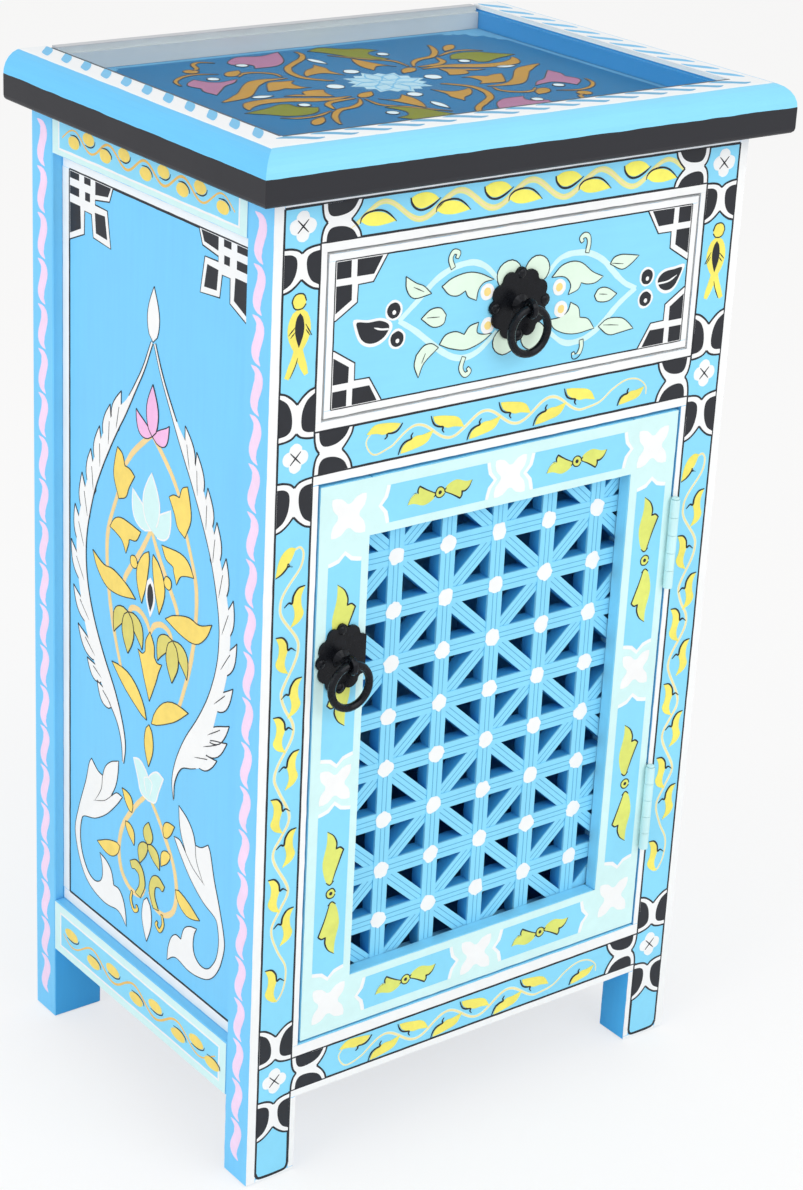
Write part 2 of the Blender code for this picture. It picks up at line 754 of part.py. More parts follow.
def make_hinges(hinge, post, stile):
    """Two butt hinges, their leaves let into the post and the door's stile."""
    low, high = DOOR_SILL + REVEAL, DOOR_HEAD - REVEAL
    middles = {"lower": low + HINGE_END, "upper": high - HINGE_END}
    for place, middle in middles.items():
        bottom = middle - HINGE_LENGTH / 2
        odd = range(0, KNUCKLES, 2)
        even = range(1, KNUCKLES, 2)
        name = f"hinge_{place}"
        room = hinge_leaf(f"{name}_frame_leaf", 1, bottom, odd, AQUA, None)
        cut([post], cutting_box(f"{name}_post", *room))
        room = hinge_leaf(f"{name}_door_leaf", -1, bottom, even, AQUA, hinge)
        cut([stile], cutting_box(f"{name}_stile", *room))
        top = HINGE_LENGTH + FIT
        profile = [
            (0.0, top + PIN_HEAD_HEIGHT), (PIN_HEAD_RADIUS * 0.7, top + PIN_HEAD_HEIGHT),
            (PIN_HEAD_RADIUS, top + PIN_HEAD_HEIGHT / 2), (PIN_HEAD_RADIUS, top),
            (PIN_RADIUS, top), (PIN_RADIUS, 0.0), (0.0, 0.0)]
        place_at = Matrix.Translation((HINGE_X, HINGE_Y, bottom))
        keep(smooth(turned(f"{name}_pin", profile, place_at)), AQUA)


def squeeze(trim_to):
    """Share of its width that the outer half of a trimmed plate keeps, so that its lobes fit the stile."""
    return trim_to / 2 / (RIVET_CIRCLE + RIVET_LOBE) if trim_to else 1.0


def rosette(trim_to=None):
    """Outline of a pull's plate: a disc with a lobe for each rivet and a pair of lobes between."""
    lobes = [(0.0, 0.0, PLATE_RADIUS)]
    for arm in range(4):
        lobes.append((90.0 * arm, RIVET_CIRCLE, RIVET_LOBE))
        for turn in (-SIDE_LOBE_ANGLE, SIDE_LOBE_ANGLE):
            lobes.append((90.0 * arm + turn, SIDE_LOBE_CIRCLE, SIDE_LOBE))
    points = []
    for i in range(PLATE_POINTS):
        angle = 2 * math.pi * (i + 0.5) / PLATE_POINTS
        reach = 0.0
        for lean, distance, radius in lobes:
            off = angle - math.radians(lean)
            inside = radius ** 2 - (distance * math.sin(off)) ** 2
            if inside > 0 and (distance == 0.0 or math.cos(off) > 0):
                reach = max(reach, distance * math.cos(off) + math.sqrt(inside))
        x, y = reach * math.cos(angle), reach * math.sin(angle)
        if x < 0:
            x *= squeeze(trim_to)
        elif trim_to:
            x = min(trim_to / 2, x)
        points.append((x, y))
    return points


def make_pull(name, at, wood, wood_thick, parent, trim_to=None):
    """A ring pull: riveted plate, eye bolt through the wood and a ring hung in the eye."""
    x, z = at
    face = FACE_Y - FIT
    front = placed((1, 0, 0), (0, 0, 1), (x, face - PLATE_THICK / 2, z))
    plate = outline(f"{name}_plate", rosette(trim_to), PLATE_THICK, front)
    heads = []
    arms = (1, 2, 3) if trim_to else range(4)
    for arm in arms:
        angle = math.radians(90.0 * arm)
        across = RIVET_CIRCLE * math.cos(angle) * squeeze(trim_to)
        spot = (x + across, face - PLATE_THICK, z + RIVET_CIRCLE * math.sin(angle))
        bpy.ops.mesh.primitive_uv_sphere_add(segments=12, ring_count=6, radius=RIVET_RADIUS, location=spot)
        head = active("rivet")
        head.data.transform(Matrix.Diagonal((1.0, RIVET_RISE / RIVET_RADIUS, 1.0, 1.0)))
        heads.append(head)
    fuse(plate, heads)
    tail = wood_thick + SHANK_TAIL
    bore = as_cutter(rod(
        f"cut_{name}_shank", SHANK_RADIUS + FIT, (x, FACE_Y - EYE_REACH, z), (x, FACE_Y + tail + FIT, z)))
    cut([plate, wood], bore)
    keep(smooth(plate), IRON, parent)

    loop = RING_WIRE + FIT + EYE_WIRE
    seat = FIT + PLATE_THICK + FIT
    neck = EYE_REACH - loop
    profile = [
        (0.0, neck), (NECK_RADIUS * 0.8, neck), (NECK_RADIUS, (neck + seat) / 2),
        (BOSS_RADIUS * 0.8, seat + (neck - seat) / 6), (BOSS_RADIUS, seat), (SHANK_RADIUS, seat),
        (SHANK_RADIUS, -tail), (0.0, -tail)]
    eye = turned(f"{name}_eye", profile, placed((1, 0, 0), (0, 0, 1), (x, FACE_Y, z)))
    hold = Vector((x, FACE_Y - EYE_REACH, z))
    fuse(eye, [torus("loop", loop, EYE_WIRE, placed((0, 1, 0), (0, 0, 1), hold), ROUND_SIDES)])
    keep(smooth(eye), IRON, parent)

    swing = empty(f"{name}_ring_axis", hold)
    swing.parent = parent
    swing.matrix_parent_inverse = parent.matrix_world.inverted()
    bpy.context.view_layer.update()
    hang = placed((1, 0, 0), (0, 0, 1), hold - Vector((0, 0, RING_RADIUS)))
    keep(smooth(torus(f"{name}_ring", RING_RADIUS, RING_WIRE, hang, RING_SIDES)), IRON, swing)


def make_catch(hinge, top_rail):
    """A magnetic catch glued behind the middle rail, and its strike plate let into the door."""
    x0 = -OPENING_X + CATCH_INSET
    x1 = x0 + CATCH_WIDTH
    near = FACE_Y + FRAME_THICK + FIT
    low = (x0, near, DOOR_HEAD - CATCH_HEIGHT / 2)
    board("door_catch", low, (x1, near + CATCH_THICK, DOOR_HEAD + CATCH_HEIGHT / 2), RAW)
    strike_top = DOOR_HEAD - REVEAL - STRIKE_MARGIN
    strike_low = (x0 + STRIKE_MARGIN, FACE_Y + FRAME_THICK - STRIKE_THICK, low[2] + STRIKE_MARGIN)
    strike_high = (x1 - STRIKE_MARGIN, FACE_Y + FRAME_THICK, strike_top)
    keep(box("catch_strike", strike_low, strike_high), STEEL, hinge)
    cut([top_rail], cutting_box("catch_strike", strike_low, strike_high))


def main():
    """Build the nightstand from the floor up."""
    posts = make_posts()
    make_front_rails(posts)
    make_side("left", posts)
    make_side("right", posts)
    make_back(posts)
    make_floor()
    make_runners()
    make_top()

    slide = empty("drawer_slide", (0, FACE_Y, DRAWER_SILL))
    front = make_drawer(slide)
    drawer_middle = (DRAWER_SILL + DRAWER_HEAD) / 2
    make_pull("drawer_pull", (0.0, drawer_middle), front, DRAWER_FRONT_THICK, slide)

    hinge = empty("door_hinge_axis", (HINGE_X, HINGE_Y, DOOR_SILL))
    members = make_door(hinge)
    make_lattice(hinge)
    make_hinges(hinge, posts["front", "right"], members["right"])
    stile_middle = -OPENING_X + REVEAL + DOOR_MEMBER / 2
    make_pull(
        "door_pull", (stile_middle, DOOR_HEAD - DOOR_PULL_DROP), members["left"], FRAME_THICK, hinge,
        trim_to=DOOR_PLATE_WIDTH)
    make_catch(hinge, members["top"])
    bpy.context.view_layer.update()


main()
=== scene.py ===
# %% [markdown]
# # A painted nightstand
# The joinery comes ready made: posts, rails, panels, a drawer, a lattice door, hinges and ring pulls.
# What is left is the decorator's work. We light the piece, give every surface its finish, and paint
# the ornament on it, one layer of paint over the other, as it is done on the real one.

# %% Load the joinery
import math

import bpy
from mathutils import Matrix, Vector, noise


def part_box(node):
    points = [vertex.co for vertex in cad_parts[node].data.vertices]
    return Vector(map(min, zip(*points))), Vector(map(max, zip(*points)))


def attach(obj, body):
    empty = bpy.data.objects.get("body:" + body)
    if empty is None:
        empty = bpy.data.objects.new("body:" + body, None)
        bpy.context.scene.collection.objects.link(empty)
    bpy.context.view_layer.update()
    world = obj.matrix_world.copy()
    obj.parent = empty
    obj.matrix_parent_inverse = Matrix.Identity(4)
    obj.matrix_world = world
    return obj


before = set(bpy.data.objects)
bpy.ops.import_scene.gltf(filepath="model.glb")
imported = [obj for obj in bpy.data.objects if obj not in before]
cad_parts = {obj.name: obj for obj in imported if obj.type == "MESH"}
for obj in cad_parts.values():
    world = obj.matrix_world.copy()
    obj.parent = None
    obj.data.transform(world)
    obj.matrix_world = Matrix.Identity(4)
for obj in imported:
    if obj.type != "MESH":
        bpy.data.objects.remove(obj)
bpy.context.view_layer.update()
scene = bpy.context.scene
bpy.ops.object.select_all(action="DESELECT")

# %% [markdown]
# ## Camera
# The photo was taken from the front left and above, with a long lens, so the edges hardly run
# together. A long lens is set by its focal length on a 36 mm wide sensor. The camera's three axes are
# written down, because the photo is also rolled by three degrees.

# %% Camera
camera_lens = bpy.data.cameras.new("camera")
camera_lens.sensor_fit = "HORIZONTAL"
camera_lens.sensor_width = 36.0
camera_lens.lens = 121.41
camera = bpy.data.objects.new("camera", camera_lens)
scene.collection.objects.link(camera)
to_right = Vector((0.799853, -0.598325, 0.047342))
to_top = Vector((0.201075, 0.341448, 0.918141))
to_eye = Vector((-0.565512, -0.724859, 0.393416))
axes = Matrix((to_right, to_top, to_eye)).transposed().to_4x4()
camera.matrix_world = Matrix.Translation((-1.032889, -1.349689, 1.065982)) @ axes
scene.camera = camera
print("camera stands", round(camera.location.length, 3), "m from the middle of the floor")

# %% [markdown]
# ## Wiring
# Light and paint are recipes of small steps, and each step takes what another one gives. A few helpers add
# a step and feed it with plain values or with the outputs of other steps. Every recipe below can then be
# read from top to bottom.


# %% Wiring
def feed(owner, socket, value):
    """Gives an input a value, or wires it to the output of another step."""
    if isinstance(value, bpy.types.NodeSocket):
        owner.node_tree.links.new(value, socket)
    else:
        socket.default_value = value


def node(owner, kind, **inputs):
    """Adds a step to a material or a world. An input's name has _ for a space."""
    made = owner.node_tree.nodes.new("ShaderNode" + kind)
    for name, value in inputs.items():
        feed(owner, made.inputs[name.replace("_", " ")], value)
    return made


def sums(owner, operation, *values):
    """A step of arithmetic."""
    made = node(owner, "Math")
    made.operation = operation
    for socket, value in zip(made.inputs, values):
        feed(owner, socket, value)
    return made.outputs[0]


def blend(owner, share, first, second):
    """Mixes two shaders: share 0 is the first, share 1 the second."""
    made = node(owner, "MixShader")
    for socket, value in zip(made.inputs, (share, first, second)):
        feed(owner, socket, value)
    return made.outputs[0]


print("wiring helpers ready")

# %% [markdown]
# ## Studio
# A product photo has a white background and big soft lamps. A world of even light does most of the work
# here: rays that go to the eye see it white, and all others get a slightly dimmer, warmer glow. One large
# lamp from the front makes the front a little brighter than the left side, which has a lamp of its own.

# %% Studio
scene.view_settings.view_transform = "Standard"
AMBIENT = 0.80
world = bpy.data.worlds.new("studio")
world.use_nodes = True
scene.world = world
world.node_tree.nodes.clear()
path = node(world, "LightPath").outputs
to_eye_ray = sums(world, "MAXIMUM", path["Is Camera Ray"], path["Is Glossy Ray"])
to_eye_ray = sums(world, "MAXIMUM", to_eye_ray, path["Is Transmission Ray"])
glow = node(world, "Background", Color=(1.0, 0.985, 0.97, 1), Strength=AMBIENT).outputs[0]
seen = node(world, "Background", Color=(1, 1, 1, 1), Strength=1.0).outputs[0]
node(world, "OutputWorld", Surface=blend(world, to_eye_ray, glow, seen))


def lamp(name, place, aim, size, power):
    """A square lamp that faces a point."""
    light = bpy.data.lights.new(name, "AREA")
    light.shape = "SQUARE"
    light.size = size
    light.energy = power
    stand = bpy.data.objects.new(name, light)
    scene.collection.objects.link(stand)
    turn = (Vector(aim) - Vector(place)).to_track_quat("-Z", "Y").to_matrix().to_4x4()
    stand.matrix_world = Matrix.Translation(place) @ turn


lamp("key_lamp", (0.5, -2.3, 1.7), (0, 0, 0.35), 1.6, 19.5)
lamp("left_lamp", (-2.4, -0.4, 1.5), (0, 0, 0.35), 1.6, 18.0)
print("studio lit")

# %% [markdown]
# ## Floor
# The floor mixes its own white into what it receives, but only for the eye. It stays white, still shows a
# soft shadow, and lights the piece from below as white paper does.

# %% Floor
bpy.ops.mesh.primitive_grid_add(x_subdivisions=8, y_subdivisions=8, size=14.0, location=(0, 0, -0.0004))
floor = bpy.context.object
floor.name = "studio_floor"
sweep = bpy.data.materials.new("studio_sweep")
sweep.use_nodes = True
sweep.node_tree.nodes.clear()
OWN_WHITE = 0.68
matt = node(sweep, "BsdfDiffuse", Color=(0.94, 0.94, 0.94, 1)).outputs[0]
white = node(sweep, "Emission", Strength=1.0).outputs[0]
share = sums(sweep, "MULTIPLY", node(sweep, "LightPath").outputs["Is Camera Ray"], OWN_WHITE)
node(sweep, "OutputMaterial", Surface=blend(sweep, share, matt, white))
floor.data.materials.append(sweep)
print("floor laid")

# %% [markdown]
# ## Paint
# The whole piece is hand painted with a brush. Real brush paint is not one colour: it lies thicker in
# streaks along the stroke, thins out in between, and shines unevenly. Each paint here stretches a noise
# along the brush's direction, and lets it shift colour, gloss and height a little.


# %% Paint recipe
def tint(red, green, blue):
    """A colour as a picture shows it (0 to 255), for a shader."""
    shares = (((c / 255 + 0.055) / 1.055) ** 2.4 if c > 10 else c / 3295 for c in (red, green, blue))
    return tuple(shares) + (1.0,)


def scaled(colour, by):
    return tuple(min(1.0, c * by) for c in colour[:3]) + (1.0,)


def new_finish(name):
    """A new material and its shader."""
    material = bpy.data.materials.new(name)
    material.use_nodes = True
    return material, material.node_tree.nodes["Principled BSDF"]


def stretched(material, along):
    """The place of a point, and the same with the brush's or the grain's direction drawn out."""
    place = node(material, "TexCoord").outputs["Object"]
    return place, node(material, "Mapping", Vector=place, Scale=along).outputs[0]


def colour_from(material, amount, low, first, high, second):
    """The first colour up to the low amount, the second from the high one, and a blend between."""
    ramp = node(material, "ValToRGB", Fac=amount)
    for element, position, colour in zip(ramp.color_ramp.elements, (low, high), (first, second)):
        element.position = position
        element.color = colour
    return ramp.outputs["Color"]


def surface(material, shader, colour, uneven, rough, height, strength, relief):
    """Colour, a roughness that changes within two limits, and a relief."""
    feed(material, shader.inputs["Base Color"], colour)
    limits = node(material, "MapRange", Value=uneven, To_Min=rough[0], To_Max=rough[1])
    feed(material, shader.inputs["Roughness"], limits.outputs["Result"])
    bumps = node(material, "Bump", Height=height, Strength=strength, Distance=relief)
    feed(material, shader.inputs["Normal"], bumps.outputs["Normal"])


def brushed(name, colour, along=(1, 1, 1), gloss=0.42, unevenness=0.035, relief=0.00007, specular=0.35):
    """Brush paint. along holds small numbers in the direction of the brush."""
    material, shader = new_finish(name)
    place, turned = stretched(material, along)
    streaks = node(material, "TexNoise", Vector=turned, Scale=260.0, Detail=5.0,
                   Roughness=0.6).outputs["Fac"]
    clouds = node(material, "TexNoise", Vector=place, Scale=22.0, Detail=3.0, Roughness=0.55).outputs["Fac"]
    mean = sums(material, "MULTIPLY", sums(material, "ADD", streaks, clouds), 0.5)
    thick, thin = scaled(colour, 1.0 - unevenness), scaled(colour, 1.0 + 0.6 * unevenness)
    surface(material, shader, colour_from(material, mean, 0.36, thick, 0.66, thin),
            clouds, (gloss - 0.08, gloss + 0.14), streaks, 0.35, relief)
    shader.inputs["Specular IOR Level"].default_value = specular
    return material


print("paint recipe ready")

# %% [markdown]
# ## Mixing the paints
# The ground is sky blue, and the brush follows the length of each board: up, across or deep. On the front
# the blue is a little paler, which is painted light: the front is lit more strongly than the sides. The
# ornament takes twenty more paints, after the colours in the photo. The last number of each is how unevenly
# it lies.

# %% Mixing the paints
UP, ACROSS, DEEP, ROUND = (1, 1, 0.06), (0.06, 1, 1), (1, 0.06, 1), (0.5, 0.5, 0.5)
SKY = tint(117, 203, 250)
# paler blue on the front faces: painted light, for the stronger light on the front
LIT_FRONT_SKY = tint(136, 216, 248)
sky_up = brushed("sky_paint_up", SKY, UP)
sky_deep = brushed("sky_paint_deep", SKY, DEEP)
sky_across = brushed("sky_paint_across", SKY, ACROSS)
lit_front_up = brushed("lit_front_paint_up", LIT_FRONT_SKY, UP)
lit_front_across = brushed("lit_front_paint_across", LIT_FRONT_SKY, ACROSS)
plain_paints = {
    "white": ("white_paint", (241, 243, 244), 0.03),
    "aqua": ("pale_aqua_paint", (208, 242, 243), 0.04),
    "mint": ("mint_paint", (222, 243, 226), 0.04),
    "yellow": ("yellow_paint", (244, 233, 104), 0.10),
    # a brighter yellow: painted light, to make up for the shade under the top's overhang
    "lemon": ("lit_yellow_paint", (250, 243, 104), 0.10),
    "lime": ("leaf_paint", (221, 229, 112), 0.10),
    "cream": ("cream_paint", (242, 228, 168), 0.06),
    "orange": ("orange_paint", (238, 192, 100), 0.10),
    "gold": ("gold_paint", (246, 218, 108), 0.10),
    "straw": ("straw_paint", (232, 232, 150), 0.08),
    "heart": ("dot_heart_paint", (246, 220, 138), 0.08),
    "olive": ("olive_paint", (221, 212, 112), 0.10),
    "stem_gold": ("stem_gold_paint", (244, 214, 150), 0.08),
    "pink": ("pink_paint", (243, 215, 244), 0.05),
    "rose": ("rose_paint", (243, 188, 232), 0.08),
    "rim_blue": ("rim_blue_paint", (104, 190, 236), 0.06),
    "pane_line": ("pane_line_paint", (34, 58, 70), 0.2),
    # mid blue for lines, also used as painted shade along the lattice's grooves
    "line_blue_and_shade": ("mid_blue_paint_and_groove_shade", (86, 170, 214), 0.08),
}
colours = {
    "ink": brushed("black_line_paint", tint(30, 33, 41), ROUND, gloss=0.45, unevenness=0.2),
    # the paler front blue, painted light, for fields drawn on the ground
    "sky": brushed("lit_sky_paint_detail", LIT_FRONT_SKY, ROUND),
}
for name, (label, colour, unevenness) in plain_paints.items():
    colours[name] = brushed(label, tint(*colour), ROUND, unevenness=unevenness)
print(len(colours), "paints mixed")

# %% [markdown]
# ## Pine
# The drawer box is raw softwood. Its rings are a wave stretched along the grain, and fine fibres shift the
# colour, the gloss and the height.


# %% Pine
def pine(name, along):
    """Raw softwood: rings stretched along the grain."""
    material, shader = new_finish(name)
    turned = stretched(material, along)[1]
    rings = node(material, "TexWave", Vector=turned, Scale=28.0, Distortion=5.0, Detail=3.0,
                 Detail_Scale=1.6)
    fibre = node(material, "TexNoise", Vector=turned, Scale=420.0, Detail=4.0).outputs["Fac"]
    grain = sums(material, "MULTIPLY_ADD", fibre, 0.45, rings.outputs["Fac"])
    surface(material, shader,
            colour_from(material, grain, 0.0, tint(222, 186, 134), 1.0, tint(190, 142, 88)), fibre,
            (0.55, 0.8), fibre, 0.3, 0.0002)
    return material


pine_across = pine("pine_across", (0.05, 1, 1))
pine_deep = pine("pine_deep", (1, 0.05, 1))
print("pine sawn two ways")

# %% [markdown]
# ## Metals and glass
# The pulls are black iron with hammer marks, the hinges are painted over, and the catch is plated steel.
# The pane bends light as little as air does, so that it hardly mirrors the white room and the painted board
# shows through, and a little dust makes it uneven. For the light that falls through it, it is just clear.


# %% Metals and glass
def metal(name, colour, metallic, roughness, grain, relief):
    """Metal with a hammered or drawn surface from one noise."""
    material, shader = new_finish(name)
    place = node(material, "TexCoord").outputs["Object"]
    dents = node(material, "TexNoise", Vector=place, Scale=grain, Detail=4.0, Roughness=0.6).outputs["Fac"]
    surface(material, shader,
            colour_from(material, dents, 0.3, scaled(colour, 0.75), 0.75, scaled(colour, 1.35)), dents,
            (roughness - 0.08, roughness + 0.15), dents, 0.4, relief)
    shader.inputs["Metallic"].default_value = metallic
    return material


iron = metal("black_iron", tint(20, 22, 27), 0.3, 0.24, 260.0, 0.0003)
iron.node_tree.nodes["Principled BSDF"].inputs["Specular IOR Level"].default_value = 0.22
steel = metal("plated_steel", tint(196, 198, 200), 1.0, 0.3, 500.0, 0.00008)
hinge_paint = brushed("hinge_paint", tint(202, 240, 243), UP, unevenness=0.08, relief=0.0002)

glass, pane = new_finish("tray_glass")
dust_place = node(glass, "TexCoord").outputs["Object"]
dust = node(glass, "TexNoise", Vector=dust_place, Scale=35.0, Detail=6.0).outputs["Fac"]
smear = node(glass, "MapRange", Value=dust, From_Min=0.45, To_Min=0.0, To_Max=0.03).outputs["Result"]
for name, value in (("Base Color", (0.96, 0.98, 0.975, 1)), ("Transmission Weight", 1.0), ("IOR", 1.01),
                    ("Roughness", smear)):
    feed(glass, pane.inputs[name], value)
clear = node(glass, "BsdfTransparent", Color=(0.86, 0.92, 0.91, 1)).outputs[0]
shadow_ray = node(glass, "LightPath").outputs["Is Shadow Ray"]
glass_end = glass.node_tree.nodes["Material Output"].inputs["Surface"]
feed(glass, glass_end, blend(glass, shadow_ray, pane.outputs[0], clear))
print("iron, steel and glass ready")

# %% [markdown]
# ## The edge of the top
# The moulding round the tray carries bands: white on the flat rim, sky blue on the round nose, a black line
# along its lower edge, and a stronger blue on the wall of the well, which is painted shade inside the well.
# The nose's blue is paler on the front length, painted light, and deeper on the side lengths, painted shade.
# One material per length of moulding finds the bands from the place of a point, with a little noise so that
# the lines wander as a brush does.


# %% Moulding paint
def base_colour(material):
    return material.node_tree.nodes["Principled BSDF"].inputs["Base Color"]


def over(material, under, colour, share):
    """A colour painted over another one where the share is 1."""
    mix = node(material, "Mix")
    mix.data_type = "RGBA"
    for socket, value in zip((mix.inputs["Factor"], mix.inputs[6], mix.inputs[7]), (share, under, colour)):
        feed(material, socket, value)
    return mix.outputs[2]


RIM_FLAT, NOSE_LOW = 0.6965, 0.6856


def moulding_paint(name, blue, axis, limit, inwards, along):
    """White on the rim inside the limit, mid blue as painted shade on the well's wall, the given blue on the
    nose, black under it.
    """
    material = brushed(name, blue, along)
    base = base_colour(material)
    place = node(material, "TexCoord").outputs["Object"]
    parts = node(material, "SeparateXYZ", Vector=place).outputs
    waver = node(material, "TexNoise", Vector=place, Scale=45.0, Detail=2.0).outputs["Fac"]

    def side(coordinate, edge, direction, wander):
        shifted = sums(material, "MULTIPLY_ADD", waver, wander, coordinate)
        return sums(material, "GREATER_THAN" if direction > 0 else "LESS_THAN", shifted, edge + wander / 2)

    inside = side(parts[axis], limit, inwards, 0.0014)
    rim = sums(material, "MULTIPLY", inside, side(parts["Z"], RIM_FLAT, 1, 0.0))
    nose = over(material, base.links[0].from_socket, tint(30, 31, 38),
                side(parts["Z"], NOSE_LOW, -1, 0.0014))
    # painted shade: a stronger blue on the well's wall, which lies in shade
    well = over(material, nose, tint(56, 146, 208), inside)
    feed(material, base, over(material, well, tint(240, 244, 247), rim))
    return material


# deeper blue for the side lengths: painted shade; the front length takes the paler front blue, painted light
SHADED_SIDE_BLUE = tint(104, 198, 248)
rim_front = moulding_paint("rim_paint_front", LIT_FRONT_SKY, "Y", -0.1350, 1, ACROSS)
rim_left = moulding_paint("rim_paint_left", SHADED_SIDE_BLUE, "X", -0.1928, 1, DEEP)
rim_right = moulding_paint("rim_paint_right", SHADED_SIDE_BLUE, "X", 0.1928, -1, DEEP)
print("three lengths of moulding painted")

# %% [markdown]
# ## Lattice paint
# The lattice is the paler front blue in front, which is painted light, and its slats get a stronger blue
# on their sides, a millimetre behind the front, which is painted shade in the holes. The place of a point
# tells how deep it lies.

# %% Lattice paint
lattice_paint = brushed("lattice_paint", LIT_FRONT_SKY, UP)
lattice_front = min(v.co.y for v in bpy.data.objects["door_lattice"].data.vertices)
slat_place = node(lattice_paint, "TexCoord").outputs["Object"]
depth = node(lattice_paint, "SeparateXYZ", Vector=slat_place).outputs["Y"]
inside = node(lattice_paint, "MapRange", Value=depth, From_Min=lattice_front + 0.0011,
              From_Max=lattice_front + 0.0022).outputs["Result"]
slat_colour = base_colour(lattice_paint)
# painted shade: a stronger blue on the slats' sides, in the shade of the holes
slat_side_shade = over(lattice_paint, slat_colour.links[0].from_socket, tint(66, 168, 228), inside)
feed(lattice_paint, slat_colour, slat_side_shade)
print("lattice front at", round(lattice_front, 4))

# %% [markdown]
# ## Dress the joinery
# Every piece of the joinery now gets its finish, with the brush following the length of the board.

# %% Dress the joinery
UNDER_GLASS = 0.03           # the board does not shine, as the pane over it does that
board_blue = brushed("board_blue_paint", tint(44, 112, 160), DEEP, unevenness=0.10, specular=UNDER_GLASS)
# the cupboard floor: blue paint, made deeper as painted shade for the closed cupboard
interior_blue_and_shade = brushed("deep_blue_paint", tint(52, 118, 168), DEEP, unevenness=0.10)
# white paint on the inside of the tray's back strip, made grey as painted shade
shaded_white = brushed("pale_grey_paint", tint(192, 196, 201), ACROSS)
finishes = {
    sky_up: ["post_", "panel_"],
    lit_front_up: ["door_stile"],
    lattice_paint: ["door_lattice"],
    lit_front_across: ["rail_front", "door_rail", "drawer_front"],
    sky_across: ["rail_back"],
    sky_deep: ["rail_left", "rail_right"],
    rim_front: ["top_moulding_front"],
    rim_left: ["top_moulding_left"],
    rim_right: ["top_moulding_right"],
    shaded_white: ["top_back_strip"],
    board_blue: ["top_board"],
    interior_blue_and_shade: ["cupboard_floor"],
    glass: ["glass_pane"],
    pine_across: ["drawer_back", "drawer_bottom"],
    pine_deep: ["drawer_side", "drawer_runner", "drawer_guide"],
    iron: ["drawer_pull", "door_pull"],
    hinge_paint: ["hinge_"],
    steel: ["door_catch", "catch_strike"],
}
dressed = 0
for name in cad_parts:
    for finish, starts in finishes.items():
        if name.startswith(tuple(starts)):
            for slot in bpy.data.objects[name].material_slots:
                slot.material = finish
            dressed += 1
print(dressed, "of", len(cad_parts), "nodes dressed")

# %% [markdown]
# ## The decorator's hand
# The ornament is flat paint, so each motif is a flat outline, in millimetres on the face that it is
# painted on. A few helpers give a smooth path through some points, a brush stroke that thins out at its
# ends, a straight band, a round daub and a pointed leaf. A picture could be laid over the wood instead,
# but outlines stay sharp from near by, and each layer has the thickness of paint.


# %% Outlines
def bent(t, p, q, r, s):
    """A coordinate on the way from q to r, on a curve that heeds p before them and s after them."""
    bend, twist = 2 * p - 5 * q + 4 * r - s, 3 * q - p - 3 * r + s
    return 0.5 * (2 * q + (r - p) * t + bend * t * t + twist * t ** 3)


def smooth(points, closed=False, steps=5):
    """A rounded path through the points."""
    count = len(points)
    path = []
    for i in range(count if closed else count - 1):
        b, c = points[i], points[(i + 1) % count]
        a = points[i - 1] if i or closed else (2 * b[0] - c[0], 2 * b[1] - c[1])
        d = points[(i + 2) % count] if closed or i + 2 < count else (2 * c[0] - b[0], 2 * c[1] - b[1])
        for step in range(steps):
            path.append(tuple(bent(step / steps, *four) for four in zip(a, b, c, d)))
    return path if closed else path + [points[-1]]


def stroke(points, width, ends=(0.4, 0.4), steps=5):
    """A brush stroke along a path; ends are the shares of the width at its two ends."""
    path = smooth(points, steps=steps) if steps > 1 else points
    count = len(path)
    sides = [], []
    for i, (x, y) in enumerate(path):
        x0, y0 = path[max(i - 1, 0)]
        x1, y1 = path[min(i + 1, count - 1)]
        length = math.hypot(x1 - x0, y1 - y0) or 1.0
        t = i / (count - 1)
        press = min(1.0, ends[0] + 4 * t * (1 - ends[0]), ends[1] + 4 * (1 - t) * (1 - ends[1]))
        waver = min(0.07 * width, 0.3) * press * noise.noise(Vector((0.2 * x, 0.2 * y, width)))
        half = 0.5 * width * press + waver
        nx, ny = (y0 - y1) / length * half, (x1 - x0) / length * half
        sides[0].append((x + nx, y + ny))
        sides[1].append((x - nx, y - ny))
    return sides[0] + sides[1][::-1]


def line(points, width):
    """A stroke from point to point that keeps its width."""
    return stroke(points, width, (1, 1), 1)


def band(start, end, width):
    """A straight band with slightly unsteady edges."""
    count = max(2, int(math.dist(start, end) / 7))
    return line([tuple(a + (b - a) * i / count for a, b in zip(start, end)) for i in range(count + 1)],
                width)


print("strokes ready")

# %% [markdown]
# ## Daubs, leaves and stencils
# Not everything is a stroke. A daub is a ring of points, a leaf has two bowed sides, and a stencil is made of
# rounded runs that meet in corners. A stencil can be turned, scaled and flipped as it is put in place.


# %% Shapes
def daub(at, radius, tall=1.0, rough=0.08, count=18):
    """A round touch of the brush."""
    ring = []
    for k in range(count):
        a = math.tau * k / count
        spot = Vector((at[0] + 2 * math.cos(a), at[1] + 2 * math.sin(a), radius))
        r = radius * (1 + rough * noise.noise(spot))
        ring.append((at[0] + r * math.cos(a), at[1] + tall * r * math.sin(a)))
    return ring


def leaf(root, tip, width, bow=0.0, belly=0.45, count=9):
    """A leaf that is pointed at both ends and may be bowed to one side."""
    dx, dy = tip[0] - root[0], tip[1] - root[1]
    length = math.hypot(dx, dy)
    power = math.log(0.5) / math.log(belly)
    sides = [], []
    for i in range(count + 1):
        t = i / count
        middle = 4 * bow * t * (1 - t)
        half = 0.0
        if 0 < i < count:
            half = 0.5 * width * math.sin(math.pi * t ** power) ** (0.6 if t < belly else 1.0)
        for side, sign in zip(sides, (1, -1)):
            if sign > 0 or half:
                o = middle + sign * half
                side.append((root[0] + t * dx - o * dy / length, root[1] + t * dy + o * dx / length))
    return sides[0] + sides[1][::-1]


